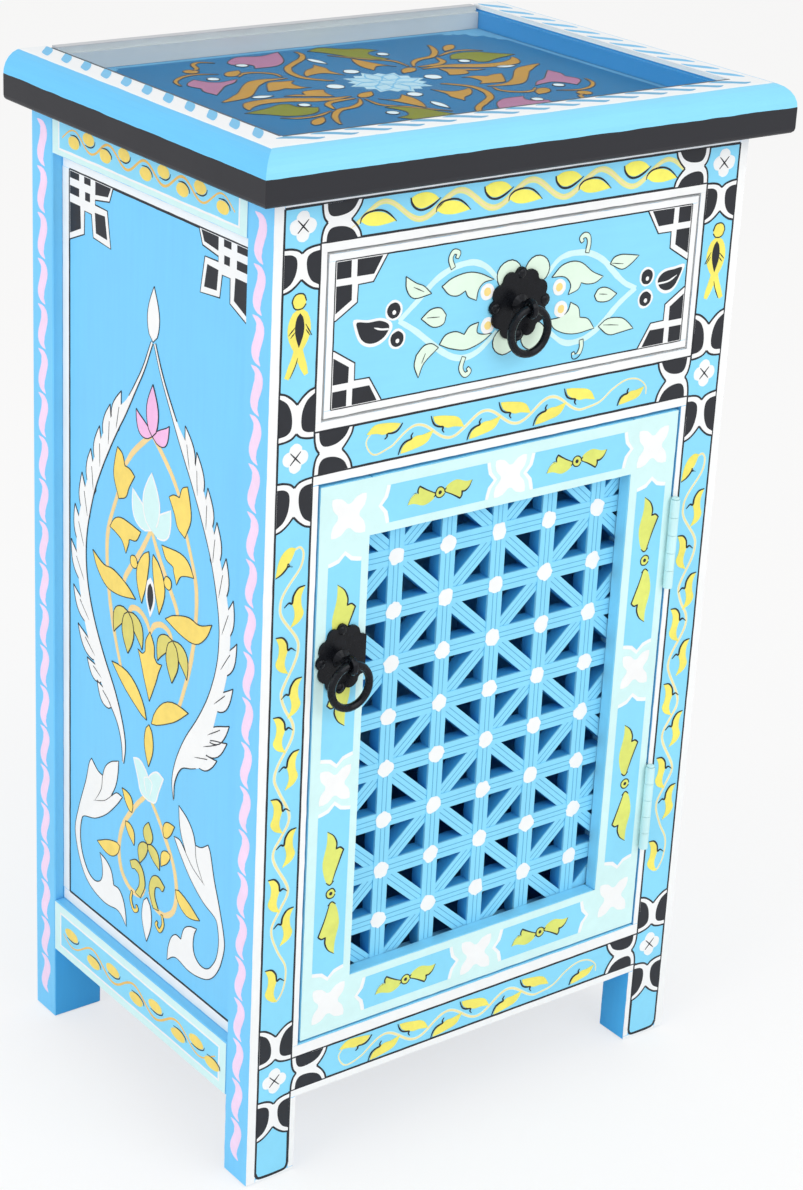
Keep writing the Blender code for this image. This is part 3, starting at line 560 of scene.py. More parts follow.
def moved(path, at=(0, 0), size=1.0, turn=0.0, flip=1):
    c, s = math.cos(turn) * size, math.sin(turn) * size
    return [(at[0] + c * x * flip - s * y, at[1] + s * x * flip + c * y) for x, y in path]


def traced(runs, *place, **more):
    """A stencil: rounded runs from corner to corner, each from the end of the one before it."""
    path = []
    for before, run in zip(runs[-1:] + runs, runs):
        path += smooth(before[-1:] + run, steps=4)[:-1]
    path.append(runs[-1][-1])
    return moved(path, *place, **more)


def mirrored(points):
    return [(-x, y) for x, y in points]


print("shapes ready")

# %% [markdown]
# ## Drawing
# A list holds what has been drawn on the face in hand: the colour, the layer and the outline. A motif can be
# drawn alone, with its mirror image, or with a thin dark line round it.

# %% Drawing
drawn = []


def draw(colour, layer, *shapes):
    for shape in shapes:
        drawn.append((colour, layer, shape))


def draw_both(colour, layer, *shapes):
    """Draws each shape and its mirror image about the middle of the face."""
    for shape in shapes:
        draw(colour, layer, shape, mirrored(shape))


def outlined(colour, layer, *shapes, ink=0.6, pair=False):
    """A motif with a thin dark line round it."""
    put = draw_both if pair else draw
    for shape in shapes:
        half = len(shape) // 2
        put(colour, layer, shape)
        put("ink", layer + 1, line(shape[:half + 1], ink), line(shape[half:] + shape[:1], ink))


print("drawing helpers ready")

# %% [markdown]
# ## Laying the paint
# Laying a drawing down makes each outline a filled curve of a paint film's thickness, turns the curves of one
# colour into a mesh, joins them, and moves the mesh onto its face. Each layer lies 0.06 mm over the one
# before, and each stroke a thousandth of a millimetre over the last, so no two films share a plane.

# %% Layers of paint
FILM, LAYER, NEXT = 0.05, 0.06, 0.001     # mm: the first film, each layer over it, each stroke over the last
SUNK = 0.06                               # mm of each film that sits in the wood


def film(shape, top, sunk, flip):
    """One outline as a filled curve, from sunk under the face to top over it."""
    curve = bpy.data.curves.new("film", "CURVE")
    curve.dimensions = "2D"
    curve.fill_mode = "BOTH"
    curve.extrude = (top + sunk) / 2000
    path = curve.splines.new("POLY")
    path.points.add(len(shape) - 1)
    for point, (x, y) in zip(path.points, shape):
        shake = 0.16 * noise.noise(Vector((0.11 * x, 0.11 * y, 5.0)))
        point.co = (flip * (x + shake) / 1000, (y - shake) / 1000, 0, 1)
    path.use_cyclic_u = True
    sheet = bpy.data.objects.new("film", curve)
    sheet.location.z = (top - sunk) / 2000
    scene.collection.objects.link(sheet)
    sheet.select_set(True)
    bpy.context.view_layer.objects.active = sheet


def lay(face, body, place, flip=1, sunk=SUNK, keep=False):
    """Makes one mesh of each colour that has been drawn, and puts it on the face."""
    made = []
    for colour in dict.fromkeys(paint for paint, layer, shape in drawn):
        bpy.ops.object.select_all(action="DESELECT")
        strokes = [(layer, shape) for paint, layer, shape in drawn if paint == colour]
        for i, (layer, shape) in enumerate(strokes):
            film(shape, FILM + LAYER * layer + NEXT * (i % 50), sunk, flip)
        bpy.ops.object.convert(target="MESH")
        if len(bpy.context.selected_objects) > 1:
            bpy.ops.object.join()
        piece = bpy.context.object
        bpy.ops.object.transform_apply(location=True, rotation=True, scale=True)
        bpy.ops.object.mode_set(mode="EDIT")
        bpy.ops.mesh.select_all(action="SELECT")
        bpy.ops.mesh.remove_doubles(threshold=1e-7)
        bpy.ops.mesh.normals_make_consistent(inside=False)
        bpy.ops.object.mode_set(mode="OBJECT")
        piece.matrix_world = place
        bpy.ops.object.transform_apply(location=True, rotation=True, scale=True)
        piece.name = piece.data.name = face + "_" + colour
        piece.data.materials.clear()
        piece.data.materials.append(colours[colour])
        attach(piece, body)
        made.append(piece)
    print(face, "painted:", len(drawn), "strokes in", len(made), "colours,",
          sum(len(p.data.polygons) for p in made), "faces")
    if not keep:
        drawn.clear()


def facing(right, up, at):
    """Places a drawing: its right and up directions and its zero point, in metres."""
    right, up = Vector(right), Vector(up)
    turn = Matrix((right, up, right.cross(up))).transposed().to_4x4()
    return Matrix.Translation(at) @ turn


def front_at(y):
    return facing((1, 0, 0), (0, 0, 1), (0, y, 0))


def top_at(z):
    return facing((1, 0, 0), (0, 1, 0), (0, 0, z))


FACE_Y, MIDDLE_Y = -0.127, 0.010
print("paint can be laid")

# %% [markdown]
# ## Frame of the front: bands and lines
# White bands run along the outer edges and round both openings, and a thin black line separates them from
# the blue. They are drawn in millimetres from the middle of the front, with heights from the floor.

# %% Bands and lines
draw_both("white", 0, band((-180.1, 0.6), (-180.1, 667.4), 7.0), band((-148.1, 528), (-148.1, 632), 4.4),
          band((-148.1, 96.8), (-148.1, 488), 4.4), band((-148.1, 3), (-148.1, 57), 4.4),
          band((-176.3, 1.5), (-146, 1.5), 2.2))
for height, width in ((664.4, 6.2), (634.85, 5.7), (525.25, 5.5), (491.5, 6.0), (92.4, 8.2), (60.0, 5.0)):
    reach = 176.3 if height > 660 else 150
    draw("white", 0, band((-reach, height), (reach, height), width))
draw_both("sky", 0, band((-163.5, 3), (-163.5, 661), 25.2))
for low, high in ((639, 660.6), (495.4, 521.6), (63.6, 87.4)):
    draw_both("sky", 0, band((-148.3, low), (-148.3, high), 5.0))
LINE = 1.5
draw_both("ink", 1, band((-176.4, 7), (-176.4, 661), LINE), band((-150.7, 522), (-150.7, 638), LINE),
          band((-150.7, 87.8), (-150.7, 495), LINE), band((-150.9, 7), (-150.9, 63.2), 2.0),
          stroke([(-176.4, 7), (-174.5, 3.6), (-170, 2.7), (-157, 2.7), (-152.6, 3.6), (-150.9, 7)], 2.0,
                 (1, 1)))
draw("ink", 1, band((-176.4, 661), (176.4, 661), LINE))
for height in (638.0, 522.0, 495.0, 87.8, 63.2):
    draw("ink", 1, band((-150.7, height), (150.7, height), LINE))
print("bands and lines drawn")

# %% [markdown]
# ## Crossings of posts and rails
# Where a rail meets a post there is a starry square with a white flower, and between it and the next
# field a pair of black lozenge halves with a white border, above and below, or left and right.

# %% Crossings
TO_FIELD = smooth([(-1.0, 1.0), (-0.92, 0.68), (-0.72, 0.32), (-0.46, 0.0)], steps=3)
TO_FLOWER = smooth([(0.72, 0.0), (0.88, 0.24), (0.97, 0.60), (1.0, 1.0)], steps=3)
HALF_BLACK = smooth([(-0.80, 1.0), (-0.60, 0.62), (-0.32, 0.40), (0.0, 0.29), (0.34, 0.27), (0.58, 0.36),
                     (0.72, 0.62), (0.76, 1.0)], steps=4)


def bone(at, half_length, half_width, upright, to_flower):
    """Two white halves that meet in the middle, each with a black one on it, flatter towards the flower."""
    for side in (-1, 1):
        def put(shape):
            turned = [(to_flower * half_length * s, side * half_width * w) for s, w in shape]
            return [(at[0] + (w if upright else s), at[1] + (s if upright else w)) for s, w in turned]

        draw_both("white", 2, put(TO_FIELD + TO_FLOWER))
        draw_both("ink", 3, put(HALF_BLACK), line(put(TO_FIELD), 1.3), line(put(TO_FLOWER), 1.3))


def flower(at, size):
    """A white flower of four round petals with a small black cross."""
    x, y = at
    for a in range(4):
        c, s = math.cos(a * math.pi / 2), math.sin(a * math.pi / 2)
        draw_both("white", 2, daub((x + 0.52 * size * c, y + 0.52 * size * s), 0.52 * size))
    draw_both("white", 2, daub(at, 0.5 * size))
    arm = 0.42 * size
    draw_both("ink", 4, stroke([(x - arm, y - arm), (x + arm, y + arm)], 1.0, (0.5, 0.5), 2),
              stroke([(x - arm, y + arm), (x + arm, y - arm)], 1.0, (0.5, 0.5), 2))


POST = -163.6
for height, half, to_flower in ((624, 13.2, 1), (535, 15.5, -1), (478.5, 15.8, 1), (102.5, 14.5, -1),
                                (47, 15, 1)):
    bone((POST, height), half, 12.4, True, to_flower)
for height, half in ((649.5, 11.2), (508.5, 13.2), (75.5, 12.0)):
    bone((-136.2, height), 14.2, half, False, -1)
    flower((POST, height), 9.0)
print("crossings drawn")

# %% [markdown]
# ## Vine on the posts
# Beside the door a cream stem climbs each post, with a yellow leaf in every bend. A leaf is a stencil of
# three rounded runs, and its upper edge gets a black line. Beside the drawer stands a yellow spindle with a
# round head and a forked tail.

# %% Vine
VINE_LEAF = [
    [(5, -0.8), (8.3, -5), (9.2, -10)],
    [(7.4, -15.5), (7.4, -20.5), (10, -26)],
    [(3.5, -23), (0.4, -18), (2.2, -12.5), (2.4, -6), (0, 0)],
]
VINE_SHADE = [(0, 0), (5, -0.8), (8.3, -5), (9.2, -10), (11.7, -9.2), (15, -11.7)]
TOP_LEAF = [
    [(-173.5, 443.3), (-170.2, 449.2), (-165.2, 452), (-161, 450.8)],
    [(-163.5, 445), (-166.3, 441)],
    [(-170, 437), (-175.2, 434.2)],
]
TOP_SHADE = [(-175.2, 433.7), (-171, 435.8), (-167.3, 439.2), (-166.3, 441.7), (-165.7, 440.3),
             (-163, 439.2)]
vine = [(-161.8, 450), (-157.7, 450.8), (-155.2, 445.8), (-157.5, 437), (-168.5, 423.3), (-171, 415),
        (-169.3, 406.7), (-158.5, 391.7), (-156.8, 383.3), (-159.3, 374.2), (-167, 360), (-168, 353),
        (-164.5, 343.5), (-158.8, 333.3), (-159.3, 323.3), (-169, 307), (-171.3, 298.3), (-168.5, 290),
        (-160, 273.3), (-159.5, 265), (-164, 257), (-170, 247), (-169, 238), (-159.5, 221), (-158.5, 213),
        (-164, 203), (-170, 190), (-165, 174), (-158, 160), (-158.5, 146), (-163, 137), (-168.5, 138),
        (-168, 144)]
sprig = [("aqua", 2, stroke(vine, 2.4, (0.7, 0.5))), ("cream", 3, stroke(vine, 1.6, (0.7, 0.5))),
         ("yellow", 4, traced(TOP_LEAF)), ("ink", 5, stroke(TOP_SHADE, 1.2, (0.3, 0.3)))]
left_leaves = [(-173.6, height, 1) for height in (394.5, 340.8, 284.4, 227.5, 161.5)]
right_leaves = [(-153.2, height, -1) for height in (425.0, 364.0, 314.3, 259.5, 202.5)]
for x, height, flip in left_leaves + right_leaves:
    sprig.append(("yellow", 4, traced(VINE_LEAF, (x, height), flip=flip)))
    sprig.append(("ink", 5,
                  stroke(moved(smooth(VINE_SHADE, steps=4), (x, height), flip=flip), 1.2, (0.5, 0.3), 1)))
for colour, layer, shape in sprig:
    draw(colour, layer, shape, [(x - 2 * POST, y) for x, y in shape])

draw_both("yellow", 2, daub((-164.6, 605), 4.7), leaf((-163.6, 601.5), (-164.6, 571), 16.5))
draw_both("yellow", 2, stroke([(-164.4, 578), (-166.5, 570), (-172, 559)], 5.2, (1, 0.6)),
          stroke([(-164.2, 578), (-162, 570), (-158, 560)], 5.2, (1, 0.6)))
draw_both("ink", 3, line(daub((-164.6, 605), 4.9), 0.8), leaf((-163.7, 598), (-163.9, 577), 6.4),
          stroke([(-171.5, 585.3), (-166.9, 589.8)], 0.9, steps=2),
          stroke([(-170, 583.6), (-166.9, 586.8)], 0.8, steps=2),
          stroke([(-159.6, 591), (-154.9, 583.5)], 0.9, steps=2),
          stroke([(-159.4, 587.8), (-156.2, 583.6)], 0.8, steps=2),
          stroke([(-164.4, 571), (-166, 566), (-169.5, 559)], 0.7))
print("vine and spindle drawn")

# %% [markdown]
# ## Wave along the rails
# Each front rail carries a stem in waves with a leaf in every bend. On the top rail the leaves are plain
# ovals; on the two others they end in a tip with a black notch.

# %% Rails
LOW_OVAL = [
    [(-9.5, 650.6), (-3, 651.8), (4, 650.4), (8.5, 647.6), (13, 644.6)],
    [(6, 643.6), (-1, 643.1), (-8, 644.2), (-13, 647.2)],
]
LOW_SHADE = [(-13.4, 646), (-12.6, 649), (-9, 651.6), (-3, 652.6), (3, 651.8), (8, 649), (13, 644.2)]
HIGH_OVAL = [
    [(-5, 658.8), (2, 658.9), (7, 657.2), (10.8, 654.2)],
    [(5, 651.2), (-1, 649.6), (-6, 651), (-9, 654), (-10, 656.8)],
]
HIGH_SHADE = [(-10.2, 657), (-9.2, 653.4), (-6, 650), (-2, 648.6), (3, 649.2), (8, 651.6), (12.2, 654.4)]
PITCH = 55.2
wave = [(x, 650.2 + 7.0 * math.cos(math.tau * (x - 4) / PITCH)) for x in range(-130, 131, 5)]
draw("straw", 2, stroke(wave, 3.8, (0.7, 0.7), 2))
draw("cream", 3, stroke(wave, 1.4, (0.4, 0.4), 2))
# the top rail's ovals take the brighter yellow, painted light against the shade under the top's overhang
for k in range(-2, 3):
    x = 0.5 + PITCH * k
    draw("lemon", 3, traced(LOW_OVAL, (x, 0)))
    draw("ink", 4, stroke([(x + dx, z) for dx, z in LOW_SHADE], 1.1, (0.4, 0.4)))
    x += 0.5 * PITCH + 5.3
    if k < 2:
        draw("lemon", 3, traced(HIGH_OVAL, (x, 0)))
        draw("ink", 4, stroke([(x + dx, z) for dx, z in HIGH_SHADE], 1.4, (0.6, 0.2)))

RAIL_LEAF = [
    [(5.5, -0.4), (12.5, -1.6), (18.5, -3), (22.5, -5.6), (26, -11.5)],
    [(22.5, -10.8), (17.5, -9.8), (12.5, -9.8), (8.5, -8.3)],
    [(4.5, -6.5), (1.5, -4), (0, 0)],
]
NOTCH = [(-1.6, 0.5), (-0.4, -3), (1.6, -6), (4.6, -7.6), (8.5, -8.5), (8.2, -10.6), (9.6, -12.6)]
for middle in (508.4, 75.4):
    stem = [(-95, 8), (-105, 8), (-112, 1), (-106, -8)]
    stem += [(x, 6.4 * math.cos(math.tau * (x + 74) / 53) - 0.8) for x in range(-94, 64, 5)]
    stem += [(74, -4.5), (84, 2.5), (95, 6.6), (105, 5.4), (112, 0), (113, -6)]
    stem = [(x, middle + y) for x, y in stem]
    draw("aqua", 2, stroke(stem, 2.3))
    draw("cream", 3, stroke(stem, 1.5))
    stencils = [((x - 13.7, middle + 8.8), 0.95, 0.0, 1) for x in (-48, 5, 58)]
    stencils += [((x - 13.7, middle - 11), 0.95, math.pi, -1) for x in (-72, -19, 34)]
    stencils += [((90, middle - 9.6), 0.8, math.pi, -1), ((-86.5, middle + 8.8), 0.9, -0.3, -1)]
    for place in stencils:
        draw("yellow", 4, traced(RAIL_LEAF, *place))
        draw("ink", 5, stroke(moved(smooth(NOTCH, steps=4), *place), 1.1, (0.4, 0.4), 1))
lay("front_frame", "carcass", front_at(FACE_Y))

# %% [markdown]
# ## Painted edges
# The brush goes over the edges of the drawer's opening and of the drawer front itself, so the narrow gap
# between them shows white and not the blue underneath.

# %% Painted edges
EDGE = 9.0


def edges(name, body, half, low, high, outwards):
    """White on the four narrow faces round a front (outwards 1) or inside its opening (outwards -1)."""
    for up, height in ((1, high), (-1, low)):
        draw("white", 0, band((-half, 0.5 + EDGE / 2), (half, 0.5 + EDGE / 2), EDGE))
        right = outwards * up
        lay("%s_edge_%d" % (name, height), body,
            facing((right, 0, 0), (0, 1, 0), (0, FACE_Y, height / 1000)))
    for side in (1, -1):
        draw("white", 0, band((0, low), (0, high), EDGE))
        turn = outwards * side
        place = (side * half / 1000, FACE_Y + (0.5 + EDGE / 2) / 1000, 0)
        lay("%s_edge_%s" % (name, "right" if side > 0 else "left"), body,
            facing((0, turn, 0), (0, 0, 1), place))


edges("drawer_opening", "carcass", 146.0, 528.0, 632.0, -1)
edges("drawer", "drawer", 144.2, 529.8, 630.2, 1)

# %% [markdown]
# ## Inside of the feet
# Below the rails the inner faces of the feet get a stronger blue, which is painted shade for the dark space
# under the piece. Each foot has two of them, one across and one along the front.

# %% Inside of the feet
# painted shade: a stronger blue for the inner faces of the feet, under the piece
colours["foot_shade"] = brushed("foot_shade_paint", tint(78, 190, 254), UP)
for post in [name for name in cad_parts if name.startswith("post_")]:
    low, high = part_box(post)
    in_x = 1 if high[0] < 0 else -1
    in_y = 1 if high[1] < MIDDLE_Y else -1
    middle_x, middle_y = (low[0] + high[0]) / 2, (low[1] + high[1]) / 2
    face_x, face_y = (high[0] if in_x > 0 else low[0]), (high[1] if in_y > 0 else low[1])
    for side, width, right, at in (("side", high[1] - low[1], (0, in_x, 0), (face_x, middle_y, 0)),
                                   ("front", high[0] - low[0], (-in_y, 0, 0), (middle_x, face_y, 0))):
        draw("foot_shade", 0, band((0, 0.8), (0, 56.0), 1000 * width - 1.0))
        lay("%s_inner_%s" % (post, side), "carcass", facing(right, (0, 0, 1), at))

# %% [markdown]
# ## Back of the tray
# The strip that closes the tray at the back is pale grey inside: white paint, made grey as painted shade. On
# its outside it is painted blue as the rest of the back is, with one broad film from end to end.

# %% Back of the tray
colours["back_sky"] = sky_across
strip_low, strip_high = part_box("top_back_strip")
left, right = 1000 * strip_low[0] + 0.3, 1000 * strip_high[0] - 0.3
middle, tall = 500 * (strip_low[2] + strip_high[2]), 1000 * (strip_high[2] - strip_low[2]) - 1.0
draw("back_sky", 0, band((-right, middle), (-left, middle), tall))
lay("back_strip", "carcass", facing((-1, 0, 0), (0, 0, 1), (0, strip_high[1], 0)))

# %% [markdown]
# ## Drawer front
# The drawer's own ornament is pale mint on blue: a pointed frame with curls and leaves round the pull,
# white dots with orange hearts, and black frets with white bars in the corners.

# %% Drawer corners
def fret(at, right, up, silhouette, blacks):
    """A corner piece: a white outline with black pieces on it, in millimetres from its corner."""
    def put(points):
        return [(at[0] + right * x, at[1] + up * y) for x, y in points]

    draw("white", 1, put(silhouette))
    draw("ink", 2, line(put(silhouette[1:]), 0.9), *[put(black) for black in blacks])


DRAWER_FRET = [(0, 0), (37, 0), (27.2, 15.6), (16.2, 15.8), (16, 26.6), (0.8, 36), (0, 36)]
DRAWER_BLACKS = [[(0.4, 0.4), (10.8, 0.4), (10.8, 10.7), (0.4, 10.7)],
                 [(15, 0.4), (33.4, 0.4), (27.4, 10.8), (15, 10.7)],
                 [(0.4, 15), (11.6, 15), (11.8, 24.6), (0.4, 31.6)]]
draw_both("white", 0, band((-141.95, 534.5), (-141.95, 625.6), 4.5))
for height in (532.0, 628.0):
    draw("white", 0, band((-144.2, height), (144.2, height), 4.4))
draw_both("ink", 1, band((-139.3, 534.5), (-139.3, 625.5), 1.0))
for height in (534.6, 625.4):
    draw("ink", 1, band((-139.3, height), (139.3, height), 1.0))
for right, x in ((1, -139), (-1, 139)):
    fret((x, 625.2), right, -1, DRAWER_FRET, DRAWER_BLACKS)
    fret((x, 534.8), right, 1, DRAWER_FRET, DRAWER_BLACKS)
print("corners drawn")

# %% [markdown]
# ## Drawer medallion: outlines
# The painter did not copy the left half onto the right, so each half has its own outlines: the frame, two
# curls, five leaves with ribs, two dots, two berries and a black drop.

# %% Drawer medallion
left_half = {
    "frame": [[(-91.6, 582.3), (-78, 593.2), (-66.4, 603.2), (-56.4, 608.5), (-46.4, 611), (-36.4, 611),
               (-26.4, 606.5), (-16.6, 597)],
              [(-91.6, 582.3), (-79.6, 574.8), (-68, 565.7), (-58, 558.2), (-48, 552.8), (-38, 551.5),
               (-28, 554.8), (-15.6, 564.5)]],
    "curls": [[(-52.6, 609.5), (-55, 615.5), (-52.8, 619.6), (-49.2, 618.6), (-50.2, 615.4)],
              [(-40.5, 552), (-42.4, 545), (-39.1, 540.2), (-35.6, 542), (-37.2, 544.6)]],
    "leaves": [
        [[(-74, 601.5), (-80, 604.2), (-88, 609.4)], [(-87, 601), (-81, 594.8), (-68, 596)]],
        [[(-66, 564.4), (-72, 563.8), (-77.4, 559)], [(-78.4, 552), (-75, 544.2)],
         [(-71, 553), (-60.6, 561)]],
        [[(-68, 586), (-60.6, 586), (-56, 581)], [(-58, 575.4), (-66, 574.8), (-75, 581.2)]],
        [[(-53, 603.4), (-41.4, 605.4), (-31.4, 603.4), (-20.5, 598.2)],
         [(-28, 597.3), (-32.2, 593.2), (-33.4, 586.8)], [(-39.7, 589.8), (-42.2, 594)],
         [(-48, 591.8), (-54.7, 593.4), (-60.5, 599.3)]],
        [[(-55.5, 568.2), (-48, 569.2), (-41.4, 566.5)], [(-37.2, 571), (-30.5, 572.4)],
         [(-31.4, 566.5), (-27, 564.4), (-19.7, 564)],
         [(-28, 559), (-39.7, 556.4), (-51.4, 559), (-60, 562.7)]]],
    "ribs": [[(-70.6, 581.2), (-61.1, 580.4)], [(-82, 602), (-74, 598)], [(-73, 553), (-70.5, 559)]],
    "hearts": [(-25.2, 591), (-23.4, 569.4)],
    "berries": [(-95.9, 589.6), (-92.5, 571.4)],
    "drop": [(-122.6, 586), (-114.3, 584.8), (-106, 584.8), (-100, 582.3), (-98.8, 578.7), (-102.4, 574),
             (-108.3, 571.6), (-114.3, 572), (-119, 575.1), (-121.9, 581)],
    "vein": [(-99.1, 578.6), (-104.6, 579.2), (-110.1, 581)],
}
right_half = {
    "frame": [[(96.5, 576), (88, 580), (82, 584.5), (76, 590), (70, 596), (63, 601), (55, 604.5), (47, 606),
               (38, 606), (30, 603.5), (21, 595)],
              [(96.5, 576), (90, 572.5), (82, 567), (75, 561), (66, 553.5), (58, 549.5), (50, 547.8),
               (42, 548), (35, 551), (26, 558)]],
    "curls": [[(53, 605), (54, 611), (53, 615.5), (50, 616.8), (47.4, 615), (48.8, 612.4)],
              [(53.5, 548.5), (54, 543.5), (52, 539), (48.6, 538), (47.4, 541)]],
    "leaves": [[[(76, 599), (82, 600), (89, 599), (96.8, 597.5)], [(90, 592.5), (83, 590.3), (73, 595)]],
               [[(74, 559), (85, 558.3), (91, 555), (97, 549.3)], [(86, 548.4), (76, 548.3), (67, 555)]],
               [[(65, 580), (72, 579.8), (80.5, 574.8)], [(74, 571), (65, 571.8), (61.8, 576)]],
               [[(33, 599.4), (42, 601), (50, 598.8), (59, 592), (68, 587.8)],
                [(62, 584.6), (55, 584.6), (50, 586.2)], [(47.4, 582), (40, 579.8)],
                [(41.4, 586), (36, 591.8), (25.5, 593)]],
               [[(34, 566), (40.6, 569), (42.6, 574.4)], [(49, 570.5), (51, 563.5)],
                [(58, 561.4), (63.5, 554.5)], [(50, 553.2), (40, 554.6), (30.5, 559), (26, 565.6)]]],
    "ribs": [[(65.5, 576.6), (72.5, 575.4)], [(74, 595.4), (84, 593.8)], [(71, 555.5), (84, 553.5)]],
    "hearts": [(32.2, 585.8), (34.7, 571.3)],
    "berries": [(105.2, 582.3), (105.2, 567.7)],
    "drop": [(135, 584.5), (128, 584.2), (121.5, 583.8), (117, 581.8), (114.8, 578), (117, 573.5),
             (121.5, 571), (126, 571), (130, 573.7), (133, 579)],
    "vein": [(115.2, 576.3), (123.8, 576.8), (131, 580)],
}
print("medallion outlined")

# %% [markdown]
# ## Drawer medallion: paint
# The light strokes come first, then the leaves with their dark lines, then the dots. Four mint daubs look
# out from behind the pull.

# %% Paint the medallion
for half in (left_half, right_half):
    draw("aqua", 2, *[stroke(path, 4.0, (0.8, 0.7)) for path in half["frame"]])
    outlined("mint", 3, *[stroke(curl, 3.2, (1, 0.7)) for curl in half["curls"]], ink=0.5)
    outlined("mint", 3, *[traced(leaf_runs) for leaf_runs in half["leaves"]])
    draw("ink", 5, *[stroke(rib, 0.6, steps=2) for rib in half["ribs"]])
    for at in half["hearts"]:
        draw("white", 4, daub(at, 5.3))
        draw("heart", 5, daub(at, 2.7))
    drop = smooth(half["drop"], True, 3)
    x0, y0 = (sum(c) / len(drop) for c in zip(*drop))
    draw("white", 2, [(x0 + 1.2 * (x - x0), y0 + 1.28 * (y - y0)) for x, y in drop])
    draw("ink", 3, drop)
    draw("white", 4, stroke(half["vein"], 1.2, (1, 0.2)))
    for x, y in half["berries"]:
        draw("white", 2, daub((x, y), 6.4))
        draw("ink", 3, daub((x, y), 4.9))
        draw("white", 4, daub((x + 0.3, y - 1.2), 1.4))
for x in (-8.6, 13.4):
    outlined("mint", 2, daub((x, 599.6), 9.8, 0.92, 0.04), daub((x, 557.5), 9.8, 0.92, 0.04), ink=0.7)
lay("drawer_front", "drawer", front_at(FACE_Y))

# %% [markdown]
# ## Door frame
# The door's members are pale aqua with blue panels on them, pointed at both ends and edged in white. A
# white star sits in each aqua block, and each blue panel holds two leaves on either side of a small ring.


# %% Door frame
def panel_outline(at, half_length, upright):
    """A long field whose ends are two scallops and a point."""
    a, b = half_length, 12.4
    end = [(a, b), (a + 0.6, 0.72 * b), (a + 1.8, 0.36 * b), (a + 6.0, 0.0),
           (a + 1.8, -0.36 * b), (a + 0.6, -0.72 * b), (a, -b)]
    shape = end + [(-x, -y) for x, y in end]
    return [(at[0] + (y if upright else x), at[1] + (x if upright else y)) for x, y in shape]


def star(at, size):
    """A white flower: four pointed petals towards the corners."""
    shape = []
    for k in range(4):
        a = math.pi / 4 + k * math.pi / 2
        for along, across in ((0.57, -0.38), (0.98, -0.36), (1.45, 0.0), (0.98, 0.36), (0.57, 0.38)):
            shape.append((at[0] + size * (along * math.cos(a) - across * math.sin(a)),
                          at[1] + size * (along * math.sin(a) + across * math.cos(a))))
    return smooth(shape, True, 2)


draw_both("aqua", 0, band((-124.95, 99.1), (-124.95, 485.9), 37.9))
for height in (466.9, 118.1):
    draw("aqua", 0, band((-106.2, height), (106.2, height), 37.9))
flat_fields = [((-54.0, 466.0), 37.5), ((60.0, 466.0), 37.5), ((-57.5, 118.7), 35), ((58.5, 118.7), 34.5)]
tall_fields = [((-124.0, 367.5), 65), ((-124.0, 204.2), 57), ((125.2, 378.6), 55.5), ((125.2, 216.5), 59.5)]
for fields, upright in ((flat_fields, False), (tall_fields, True)):
    for at, half in fields:
        rim = panel_outline(at, half + 1.2, upright)
        draw("white", 1, stroke(rim[:7], 3.4, (0.8, 0.8), 1), stroke(rim[7:], 3.4, (0.8, 0.8), 1))
        draw("sky", 2, panel_outline(at, half, upright))
stars = [((-122.5, 464), 12.4), ((123.5, 464), 12.4), ((-122.5, 121), 12.4), ((123.5, 126), 12.4),
         ((-124.4, 281.6), 11.6), ((125.2, 302.5), 11.6), ((3, 466.2), 12.2), ((0.8, 118.6), 12.2)]
for at, size in stars:
    draw("white", 2, star(at, size))
print("door fields drawn")

# %% [markdown]
# ## Leaves of the door
# In each blue field two leaves point away from a small ring. One stencil serves all, turned and scaled.

# %% Door leaves
BOW_LEAF = [
    [(4.5, 20), (9.5, 32.5)],
    [(6.5, 35), (3.2, 34.5)],
    [(3.4, 39.5), (0.5, 45.5), (-5, 50)],
    [(-5.2, 40), (-8.2, 26), (-6.5, 15), (-3, 8), (0.5, 8)],
]
BOW_EDGE = 29       # points of the outline along its first three runs


def bow(at, size, turn, fat=1.0):
    """Two leaves that point away from a small ring."""
    stencil = [[(fat * x, y) for x, y in run] for run in BOW_LEAF]
    for half_turn in (0.0, math.pi):
        shape = traced(stencil, at, size, turn + half_turn)
        draw("lime", 3, shape)
        draw("ink", 4, stroke(shape[:BOW_EDGE], 1.1, (0.5, 0.3), 1))
        base = [(-4.5, 9.5), (-1.2, 7.0), (2.2, 9.5)]
        draw("ink", 4, stroke(moved(smooth(base, steps=4), at, size, turn + half_turn), 0.9, (0.6, 0.6), 1))
    draw("lime", 3, daub(at, 3.7))
    draw("ink", 4, line(daub(at, 3.6), 0.8), daub(at, 1.3))


for x, z in ((-53, 466), (58, 466), (-59, 118.5), (57.5, 118.5)):
    bow((x, z), 0.50, math.pi / 2, 1.5)
for x, z, size in ((-124.0, 371, 0.98), (-124.2, 203.5, 0.92), (125.0, 383, 0.92), (125.2, 215.5, 0.92)):
    bow((x, z), size, 0.0)
lay("door_frame", "door", front_at(FACE_Y))

# %% [markdown]
# ## Lattice
# Each crossing of the lattice has a white daub of paint, and the slats have a pair of fine grooves along
# them, drawn as mid-blue lines that are painted shade for the grooves. The slats lie in four layers, each
# 0.3 mm behind the last, so their lines are laid one layer at a time.

# %% Lattice
NODE_X, NODE_Z, STEP_X, STEP_Z = -76.7, 424.5, 41.1, 37.1
LEFT, RIGHT, LOW, HIGH = -105.2, 105.2, 137.8, 447.2
LATTICE_Y, SLAT_STEP = FACE_Y + 0.010, 0.0003
GROOVE, SHORTEST = 1.7, 12      # mm from a slat's middle to a groove; shorter grooves are left out
OVER_SLATS = 1.2                # mm that the daubs reach down, to the slats of the last layer


